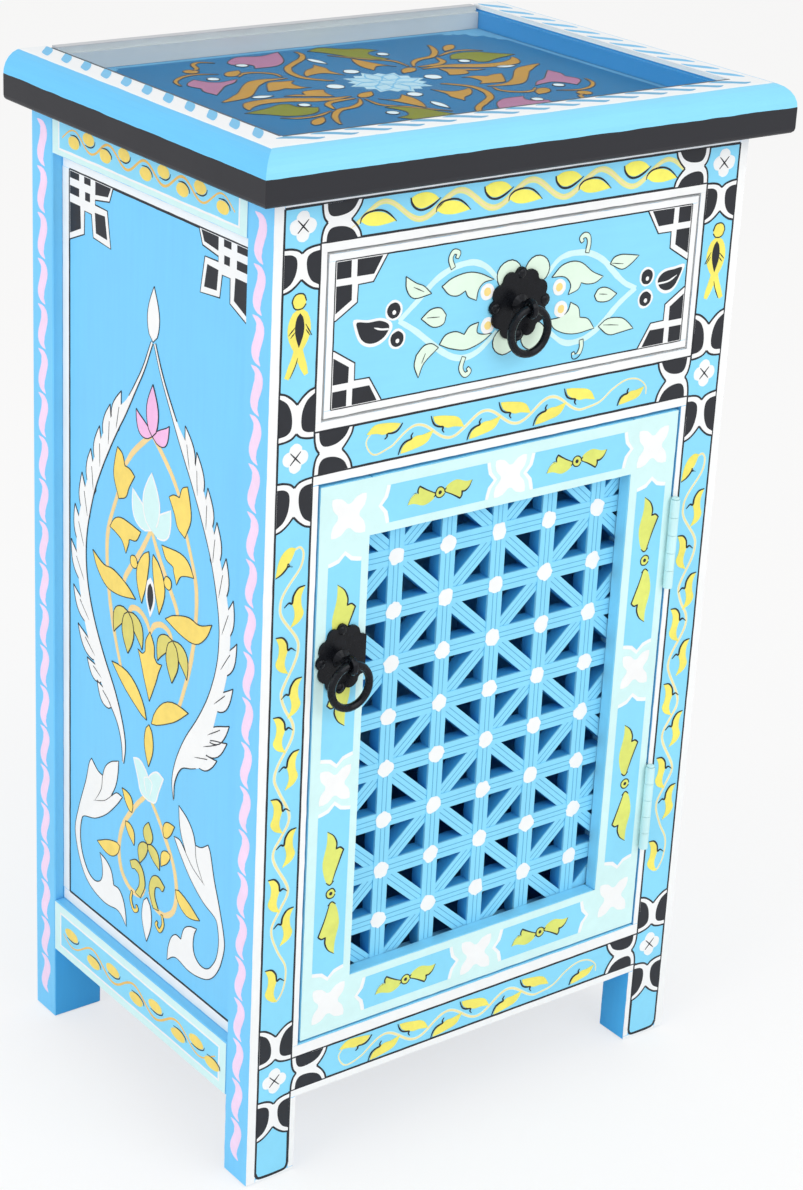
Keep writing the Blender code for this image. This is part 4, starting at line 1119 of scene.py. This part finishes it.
def clipped(x, z, dx, dz):
    """The run of a slat between the edges of the door's opening."""
    first, last = -1e9, 1e9
    for p, d, low, high in ((x, dx, LEFT, RIGHT), (z, dz, LOW, HIGH)):
        if d:
            a, b = sorted(((low - p) / d, (high - p) / d))
            first, last = max(first, a), min(last, b)
    return (x + dx * first, z + dz * first), (x + dx * last, z + dz * last), last - first


long = math.hypot(STEP_X, STEP_Z)
slats = [[(NODE_X + STEP_X * c, NODE_Z, 0, 1) for c in range(5)],
         [(NODE_X, NODE_Z - STEP_Z * r, 1, 0) for r in range(8)]]
for lean in (-1, 1):
    slats.append([(NODE_X + 2 * k * STEP_X, NODE_Z, STEP_X / long,
                   lean * STEP_Z / long) for k in range(-6, 10)])
for layer, runs in enumerate(slats):
    for x, z, dx, dz in runs:
        for off in (-GROOVE, GROOVE):
            start, end, length = clipped(x - dz * off, z + dx * off, dx, dz)
            if length > SHORTEST:
                # painted shade: a mid-blue line along each groove of a slat
                draw("line_blue_and_shade", 0, band(start, end, 0.55))
    lay("lattice_groove_shade_%d" % layer, "door", front_at(LATTICE_Y + SLAT_STEP * layer))
for column in range(5):
    for row in range(8):
        at = (NODE_X + STEP_X * column, NODE_Z - STEP_Z * row)
        draw("white", 1, daub(at, 6.0, 1.0, 0.25, 20))
lay("lattice_daubs", "door", front_at(LATTICE_Y), sunk=OVER_SLATS)

# %% [markdown]
# ## Frame of the sides
# The posts' sides carry a column of pink brush curls. The rails have a pale border, a white line and a wave
# with ovals. The left side is drawn once, and the right side is its mirror image.

# %% Side frame
for side in (-124, 124):
    for k in range(21):
        z = 30 + 30.6 * k
        curl = [(-5.6, 14.2), (0.5, 11.8), (2.6, 6.5), (0.6, 0), (-1.6, -6.5), (-0.4, -11.5), (3.6, -14.6)]
        draw("pink", 1, stroke([(side + x, z + y) for x, y in curl], 8.2, (0.06, 0.06), 3))
for low, high, inset in ((638.6, 667.4, 5.0), (57.6, 96.4, 7.2)):
    middle, tall = (low + high) / 2, high - low
    draw("aqua", 0, band((-110.4, middle), (110.4, middle), tall))
    draw("white", 1, band((-103, middle), (103, middle), tall - 2 * inset + 3.0))
    draw("sky", 2, band((-101.5, middle), (101.5, middle), tall - 2 * inset))
top_ovals = [(-83.7, 650.5), (-45.9, 650.5), (0.8, 650.5), (41.9, 650.5), (85.2, 650.5),
             (-65.9, 656.5), (-24.1, 656.5), (20.8, 656.5), (60.8, 656.5)]
top_wave = [(x, 653.2 + 5.2 * math.cos(math.tau * x / 42)) for x in range(-98, 99, 4)]
foot_ovals = [(-87, 79.5), (-31.4, 79.5), (24, 79.5), (75, 79.5), (-57, 72.5), (-0.3, 72.5), (53, 72.5),
              (94, 72.5)]
foot_wave = [(x, 76.2 - 6.2 * math.cos(math.tau * (x + 31) / 54.5)) for x in range(-98, 99, 4)]
for wave, ovals, size in ((top_wave, top_ovals, 14.5), (foot_wave, foot_ovals, 19)):
    draw("orange", 3, stroke(wave, 1.7, (0.5, 0.5), 2))
    heart = sum(y for _, y in ovals) / len(ovals)
    for x, y in ovals:
        up = 1 if y > heart else -1
        draw("gold", 4, daub((x, y), size * 0.46, 9.0 / size))
        draw("ink", 5,
             stroke([(x - 0.3 * size, y - up * 4.3), (x + 0.15 * size, y - up * 4.6),
                     (x + 0.46 * size, y - up * 2.4), (x + 0.54 * size, y + up * 0.4)], 0.8))


def lay_sides(face, x):
    """Puts the drawing on the left side, and its mirror image on the right side."""
    lay("left_" + face, "carcass", facing((0, -1, 0), (0, 0, 1), (-x, MIDDLE_Y, 0)), keep=True)
    lay("right_" + face, "carcass", facing((0, 1, 0), (0, 0, 1), (x, MIDDLE_Y, 0)), -1)


SIDE_X, PANEL_X = 0.184, 0.1765
lay_sides("frame", SIDE_X)

# %% [markdown]
# ## Side panels: border and leafy frame
# A white band and a black line run round the panel. Inside, two white acanthus leaves make a pointed frame
# with teeth on its outside, under a bud, and black frets fill the upper corners.

# %% Panel frame
draw_both("white", 0, band((-106.6, 106), (-106.6, 629), 8.2))
for height in (101.6, 633.4):
    draw("white", 0, band((-110, height), (110, height), 8.2))
draw_both("ink", 1, band((-102, 106), (-102, 629), 1.7))
for height in (106.2, 628.8):
    draw("ink", 1, band((-102, height), (102, height), 1.7))
SIDE_FRET = [(0, 0), (52.5, 0), (48.5, 9.6), (31.2, 12.4), (31.2, 15.4), (45.8, 15.8), (50.2, 39.2),
             (29, 37.2), (26.8, 22.6), (18.4, 22.4), (18, 37.8), (0.3, 45.2), (0, 45)]
SIDE_BLACKS = [[(0.4, 0.4), (11.6, 0.4), (11.6, 4.8), (0.4, 4.8)],
               [(17.8, 0.4), (25.6, 0.4), (25.6, 4.8), (17.8, 4.8)],
               [(31.4, 0.4), (50, 0.4), (46.6, 7), (31.4, 9)],
               [(0.4, 9.8), (11.6, 9.8), (11.6, 15.2), (0.4, 15.2)],
               [(19, 10), (25, 10), (25, 15.4), (19, 15.4)],
               [(0.4, 20.6), (13, 20.6), (13.8, 35), (0.4, 41)],
               [(31, 20.6), (43, 20), (46, 34.6), (32.4, 33.6)]]
fret((-101.6, 628.6), 1, -1, SIDE_FRET, SIDE_BLACKS)
fret((101.6, 628.6), -1, -1, SIDE_FRET, SIDE_BLACKS)

inner = [(31, 238), (29, 252), (33, 268), (42.5, 287), (56, 306), (67.5, 325), (76, 345), (80, 364),
         (80, 383), (76, 402), (69.6, 421.5), (60, 441), (46.5, 464), (31.2, 487), (19.6, 506), (9.2, 523.5),
         (0.6, 542)]
outer = [(88.5, 345), (92, 364), (92.5, 383), (88, 403), (80.5, 423), (71, 443), (58, 467), (44, 485),
         (31, 496.5), (20.5, 510.5), (11, 525.5), (2.6, 543)]
tips = [(37.5, 500), (51, 487), (64, 468), (75, 449), (86, 429), (95, 404), (100, 377), (97, 345)]
roots = [(44, 470), (53, 456), (63, 437), (71, 418), (78, 397), (82, 374), (81, 350), (74, 324)]
low_ends = {-1: ([(32.5, 239), (34, 252), (39.5, 265), (50, 276), (60, 286), (71, 301), (82, 323)],
                 [((66, 301), (91, 318.5)), ((58, 289), (79, 298)), ((46, 274), (66, 286))]),
            1: ([(31.5, 239), (32.5, 252), (40, 265), (54, 271), (66, 281), (80, 322)],
                [((67, 300), (94, 318)), ((62, 290), (92, 305)), ((52, 279), (81, 288))])}
for side, (low_outer, low_feathers) in low_ends.items():
    def put(points):
        return [(side * x, y) for x, y in points]

    feathers = list(zip(roots, tips)) + low_feathers
    for root, tip in feathers:
        outlined("white", 2, put(leaf(root, tip, 11.5, -2.4, 0.4)), ink=0.8)
    ribbon, edge = smooth(inner, steps=4), smooth(low_outer + outer, steps=4)
    draw("white", 4, put(ribbon + edge[::-1]))
    draw("ink", 5, stroke(put(ribbon), 0.8, (0.7, 0.7), 1), stroke(put(edge[-12:]), 0.8, (0.7, 0.7), 1),
         stroke(put(edge[:14]), 0.8, (0.7, 0.7), 1))
    for root, tip in feathers:
        fold = [tuple(a + share * (b - a) for a, b in zip(root, tip)) for share in (0.1, 0.36, 0.62)]
        draw("ink", 5, stroke(put(fold), 0.6, (0.2, 0.9), 2))
outlined("white", 2, leaf((-0.5, 543), (0, 579), 14, 0, 0.42))
print("leafy frame drawn")

# %% [markdown]
# ## Side panels: flowers
# Inside the frame grow tulips, leaves and curling stems in pink, pale aqua, gold and olive, the same on both
# sides of the middle.


# %% Panel flowers
def tulip(base, tip, wing, fat=1.0):
    """The petals of a flower seen from the side: two wings, then the middle one in front of them."""
    bend = 4.5 if tip[1] > base[1] else -4.5
    far = (2 * base[0] - wing[0], wing[1])
    return [leaf(base, wing, 12.5 * fat, bend),
            leaf(base, far, 12.5 * fat, -bend)], leaf(base, tip, 15.5 * fat)


def tulip_in(colour, *place, ink=0.7):
    wings, middle = tulip(*place)
    outlined(colour, 3, *wings, ink=ink)
    outlined(colour, 5, middle, ink=ink)


stems = [[(0, 482), (-10, 474.5), (-23, 463), (-32, 452)],
         [(-40, 431), (-51.5, 404), (-54, 385), (-51.5, 358), (-45, 332), (-36, 308)],
         [(0, 418), (-8, 405), (-18, 391.5), (-30, 376), (-33, 368)],
         [(0, 346), (-5, 353), (-14, 357), (-23, 355), (-27, 348)],
         [(-3, 226), (-12, 217), (-22, 205), (-32, 190), (-36.5, 172), (-33, 156), (-22, 147), (-9, 147.5),
          (-3, 156)]]
draw_both("stem_gold", 2, *[stroke(stem, 4.0, (0.8, 0.8)) for stem in stems])
tulip_in("rose", (0, 481), (0, 515.5), (-19.5, 494), 0.9)
outlined("gold", 3,
         traced([[(-46, 440), (-44.5, 452), (-41.5, 461)], [(-35.5, 458), (-32.5, 451)],
                 [(-26, 450.5), (-20.5, 447.5)], [(-27, 438), (-31, 430), (-39.5, 426)]]), pair=True)
wings, middle = tulip((0, 417.5), (0, 456.5), (-22.5, 439), 1.28)
draw("aqua", 3, *wings)
draw("white", 4, *[line(petal, 1.1) for petal in wings])
draw("aqua", 5, middle)
draw("white", 6, line(middle, 1.1))
outlined("gold", 3,
         traced([[(-44, 411), (-34, 414), (-12.5, 412)], [(-18, 404), (-26, 402), (-27, 399), (-30.5, 391)],
                 [(-35, 398), (-42, 401), (-50.5, 403)]]), pair=True)
outlined("gold", 4, leaf((-2.6, 402), (-10.5, 363), 13, -4.0, 0.5), pair=True)
outlined("gold", 4,
         traced([[(-28, 369), (-45, 374), (-58, 373.5), (-72, 379)],
                 [(-66, 368), (-54, 359), (-38, 358.5), (-18, 363)]]), pair=True)
draw_both("gold", 4, daub((-20.5, 388.5), 4.4))
draw_both("ink", 5, line(daub((-20.5, 388.5), 4.4), 0.6))
draw("white", 4, leaf((0, 385), (0, 357), 11.5))
draw("ink", 5, leaf((0, 381), (0, 361), 7.4))
for side in (-1, 1):
    tulip_in("olive", (side * 27, 351), (side * 27, 321), (side * 27 - 17.5, 330), 0.95)
outlined("gold", 3,
         traced([[(-7, 312), (-11, 322), (-14.5, 329)], [(-9, 328), (-5.5, 331)], [(-5, 339), (0, 347)],
                 [(5, 339), (5.5, 331)], [(9, 328), (14.5, 329)], [(11, 322), (7, 312), (0, 297)]]))
outlined("gold", 4, leaf((-3, 282), (-47, 307.5), 14, -4, 0.52), pair=True)
outlined("gold", 3, leaf((0, 280), (0, 249), 11))
low_cup = [[(-9, 226.5), (-13, 236), (-18.5, 248)], [(-11, 249.5), (-4.5, 246), (0, 241)],
           [(4.5, 246), (11, 249.5), (18.5, 248)], [(13, 236), (9, 226.5), (0, 224)]]
draw("aqua", 3, traced(low_cup))
draw("white", 4, line(traced(low_cup), 1.2), stroke([(-2, 228), (-5, 238), (0, 241.5)], 1.0),
     stroke([(2, 228), (5, 238), (0, 241.5)], 1.0))
print("flowers drawn")

# %% [markdown]
# ## Side panels: foot
# At the foot a large white leaf curls up on either side, round a spray of gold and olive leaves.

# %% Panel scrolls
scroll = [[(-76.2, 218.7), (-80.7, 203), (-88.4, 183), (-94, 165.3), (-94, 154.2), (-88.4, 138.7),
           (-79.6, 127.5), (-68.4, 122), (-52.9, 119.8), (-39.6, 122), (-32.9, 120.4), (-26.2, 114.9)],
          [(-27.3, 125.3), (-30.7, 134.2), (-36.2, 139.3), (-42.9, 139.1)],
          [(-46.2, 148.7), (-52.9, 153.8), (-61.5, 156)],
          [(-58.6, 149.8), (-57.8, 140.9), (-60.7, 134.2), (-68.4, 130.9), (-77.3, 134.2), (-85.1, 145.3),
           (-87.8, 158.7), (-86.2, 169.8), (-82.4, 175.3), (-68.4, 179.8), (-52.9, 189.8), (-39.6, 203),
           (-32.5, 211.8)], [(-40, 212), (-47.3, 206)], [(-41, 217), (-38.6, 226), (-37.6, 237)],
          [(-48, 232), (-55, 225), (-58.2, 217)], [(-65, 218.5), (-73, 224)]]
outlined("white", 2, traced(scroll), ink=0.65, pair=True)
draw_both("ink", 4, stroke([(-58.2, 217), (-60, 206), (-68, 194)], 0.45, (0.9, 0.2)),
          stroke([(-47.3, 206), (-56, 199), (-70, 193)], 0.45, (0.9, 0.2)))
outlined("gold", 3, leaf((-20, 206), (-33, 219), 9.5, -2), leaf((-28, 196), (-17, 182), 8.5, 2),
         leaf((-35, 173), (-65, 164), 11.5, 3), pair=True)
outlined("olive", 4, leaf((0, 191), (1, 208), 12), leaf((0.5, 191), (15.5, 178), 10, 2.2),
         leaf((-0.5, 191), (-9.5, 172), 10, -2.2))
crescent = [[(-2.5, 158), (-6, 169), (-14, 172.5), (-22, 168.5)], [(-19.5, 164), (-15.5, 165)],
            [(-10.5, 162.5), (-10, 155), (-15, 147)], [(-8, 146)]]
outlined("olive", 4, traced(crescent), ink=0.6, pair=True)
outlined("gold", 4,
         stroke([(-19, 146), (-20.5, 139), (-16.5, 132.5), (-12, 135), (-13.5, 138)], 2.8, (0.8, 0.7)),
         ink=0.5, pair=True)
outlined("white", 3, leaf((0, 150), (0, 116), 12.5))
lay_sides("panel", PANEL_X)

# %% [markdown]
# ## Rim of the tray
# Short slanted dashes of blue run round the white rim.

# %% Rim dashes
RIM_Z = 0.700
for k in range(-7, 8):
    x = 23.6 * k
    draw("line_blue_and_shade", 1,
         stroke([(x - 13, -118.6), (x - 6, -119.6), (x + 1, -123), (x + 8, -127.6), (x + 14, -127.8)], 5.0,
                (0.15, 0.15)))
for k in range(11):
    y = -103 + 23.6 * k
    dash = [(-174.2, y + 11.6), (-173.8, y + 8), (-174.6, y + 3), (-180, y - 5), (-186.6, y - 11.6),
            (-186.6, y - 7), (-184.8, y - 1.4), (-179, y + 6)]
    draw_both("rim_blue", 1, smooth(dash, True, 3))
draw("pane_line", 1, band((-172.9, -115), (-172.9, 140), 1.6))
draw("pane_line", 1, band((-172, -115.9), (172, -115.9), 1.6))
lay("rim_dashes", "carcass", top_at(RIM_Z))

# %% [markdown]
# ## Board under the glass
# The board in the well has its own, duller paints. A pale line with lacy corners runs round it.

# %% Tray border
BOARD_Z = 0.684
for name, colour, unevenness in (("line", (104, 164, 202), 0.10), ("aqua", (176, 208, 224), 0.06),
                                 ("ochre", (182, 138, 62), 0.12), ("olive", (124, 128, 42), 0.10),
                                 ("pink", (168, 116, 148), 0.06), ("white", (214, 226, 232), 0.05)):
    colours["tray_" + name] = brushed("tray_%s_paint" % name, tint(*colour), ROUND, unevenness=unevenness,
                                      specular=UNDER_GLASS)
HALF_X, BACK, FRONT = 168.4, 136.4, -111.4
draw_both("tray_line", 0, band((-HALF_X + 3.2, FRONT), (-HALF_X + 3.2, BACK), 4.6))
for y in (FRONT + 3.2, BACK - 3.2):
    draw("tray_line", 0, band((-HALF_X, y), (HALF_X, y), 4.6))
for y, up in ((FRONT + 4, 1), (BACK - 4, -1)):
    for x, y1, r in ((5, 5, 6.5), (14, 5, 5.5), (5, 14, 5.5), (22, 4, 5), (4, 22, 5), (13, 13, 5),
                     (30, 3, 4), (3, 30, 4)):
        draw_both("tray_line", 1, daub((-HALF_X + 3 + x, y + up * y1), r, 1.0, 0.2, 12))
print("border drawn")

# %% [markdown]
# ## Sprays under the glass
# Four sprays of tulips, leaves and stems grow from the middle. Two are drawn, and each comes again with half
# a turn. White beads and buds lie between them.


# %% Tray sprays
def placed(shape, turn=1):
    """Moves a motif to the middle of the rosette; turn -1 gives it half a turn first."""
    return [(6.7 + turn * x, 24.8 + turn * y) for x, y in shape]


def tendril(width, *points):
    return "tray_ochre", stroke(points, width)


first_spray = [
    ("tray_ochre",
     stroke([(-53, 36.7), (-71, 37.5), (-82.5, 31.7), (-94, 20), (-104, 9.2), (-116, 2.5), (-127, -1.7)],
            10.0, (0.15, 0.15))),
    ("tray_ochre",
     traced([[(-77.5, 23.3), (-70.8, 31.2), (-61, 30.4), (-52.5, 29)], [(-58, 24), (-59.2, 18.3)],
             [(-58, 12), (-53.3, 9.2)], [(-64, 9.2), (-70.8, 13.3)], [(-77.5, 10.8), (-85, 10.8)]])),
    ("tray_ochre",
     traced([[(-12.5, 50), (-15, 42.5), (-13.4, 28.3)], [(-21.7, 38.3), (-31, 38.3), (-38.4, 35)],
             [(-36, 41.7), (-29, 50), (-20, 55), (-14.2, 62.5)]])),
    ("tray_pink",
     traced([[(-32, 98.5), (-48, 102), (-62, 92), (-64, 84)], [(-55, 82), (-52, 76), (-56, 69)],
             [(-40, 69), (-28, 77), (-20, 90), (-14, 104)]])),
    ("tray_pink",
     traced([[(-119, 51), (-122.5, 44), (-119, 35)], [(-122, 27), (-120, 15.8)],
             [(-111, 25), (-101, 35), (-91, 40), (-83.3, 48.3)],
             [(-92.5, 45.8), (-100, 45), (-106, 50), (-110, 58.3)]])),
    tendril(5.0, (-2.5, 100), (-3.3, 91.7), (-10.8, 80.8), (-24, 70.8), (-35, 61.7), (-41.7, 48.3),
            (-42.5, 33.3), (-34, 21.7), (-29, 18.3)),
    tendril(3.4, (-96, 81), (-90.8, 84), (-86.7, 95), (-79, 99), (-71, 93.3)),
    tendril(3.0, (-127, 46), (-124, 57), (-114, 66.5), (-101, 70), (-87, 65)),
    tendril(3.4, (-79, 53), (-71, 59.6), (-61, 58.3), (-53.3, 50), (-54, 41)),
    ("tray_ochre", leaf((-85, 56.5), (-68.5, 69), 10)),
    ("tray_ochre", daub((-99, 78.3), 5.2)),
    ("tray_white", daub((-59, 79.5), 4.2)),
    ("tray_white", daub((-97.8, 54), 4.2)),
]
second_spray = [
    ("tray_ochre",
     stroke([(-45, -22), (-61, -23), (-74, -19), (-87.5, -13.3), (-101, -11.2), (-112.5, -13), (-120, -19),
             (-124, -26)], 10.0, (0.15, 0.15))),
    ("tray_ochre",
     traced([[(-75, -3.5), (-69, -6.7)], [(-66, 0.5), (-58, 2.2), (-50, 0)], [(-54, -8), (-55, -18)],
             [(-66, -13), (-74, -9), (-83.3, -4.2)]])),
    ("tray_ochre",
     traced([[(-28, -40), (-21, -40.5), (-12.5, -31.7)], [(-11.5, -45), (-15.5, -59), (-20, -67.5)],
             [(-24, -55), (-28, -44), (-33.3, -35)]])),
    ("tray_olive",
     traced([[(-122, -29.5), (-111, -26.5), (-99, -21.5), (-92.5, -23.3)], [(-91.5, -32), (-80.8, -38.3)],
             [(-89, -48.3), (-101, -51.7), (-112.5, -48.5)], [(-121, -40), (-131, -32)]])),
    ("tray_olive",
     traced([[(-20, -104), (-32, -94), (-44, -90), (-52, -81)], [(-42, -78), (-38, -69), (-43, -56)],
             [(-33, -57), (-24, -64), (-20, -76), (-14, -88), (-6, -98)]])),
    tendril(3.4, (-41, -32), (-42, -46.7), (-37.5, -54), (-30, -60), (-21, -70), (-10.8, -81.7)),
    tendril(4.6, (-75, -46), (-71, -34), (-61, -28.6), (-46, -28)),
    tendril(4.6, (-94, -80), (-91, -71.7), (-84, -60), (-73, -49.5), (-61, -46.7), (-51, -40), (-44, -30)),
    tendril(3.2, (-118, -51), (-107.5, -56.5), (-94, -56), (-79, -49)),
    ("tray_ochre", leaf((-41.5, -28), (-25, -16.7), 9)),
    ("tray_ochre", leaf((-110, -75), (-92.5, -59.5), 8)),
    ("tray_white", daub((-85.5, -29.5), 4.2)),
    ("tray_white", daub((-47.5, -69.5), 4.2)),
]
for turn in (1, -1):
    for colour, shape in first_spray + second_spray:
        layer = 4 if colour == "tray_white" else 2
        outlined(colour, layer, placed(shape, turn), ink=0.9)
for root, tip, bead, size in (((-8, 78.5), (-4.5, 60), (-3.5, 35), 5.4),
                              ((-104.5, 0.5), (-88.5, -0.5), (-38.3, 4), 6.0),
                              ((93.5, 5.8), (109.5, 3.8), (36.7, 0), 6.0),
                              ((-7, -55), (-7.5, -75), (-4.5, -35), 5.2)):
    outlined("tray_white", 3, placed(daub(bead, size)), placed(leaf(root, tip, 6.5)), ink=0.7)
print("sprays drawn")

# %% [markdown]
# ## Rosette under the glass
# The rosette is a pale star with sixteen blue petal lines and a ring in the middle.

# %% Tray rosette
rosette = []
for k in range(32):
    a, r = math.tau * k / 32, (29, 22, 26, 22)[k % 4]
    rosette.append((r * math.cos(a), r * math.sin(a)))
draw("tray_aqua", 2, placed(rosette))
for k in range(8):
    a = math.tau * k / 8
    for lean in (-0.35, 0.35):
        petal = [(r * math.cos(b), r * math.sin(b)) for r, b in ((6, a), (16, a + lean), (25, a))]
        draw("line_blue_and_shade", 3, stroke(placed(petal), 1.2))
draw("line_blue_and_shade", 3, line(placed(daub((0, 0), 5.5)), 1.1))
lay("tray_board", "carcass", top_at(BOARD_Z))
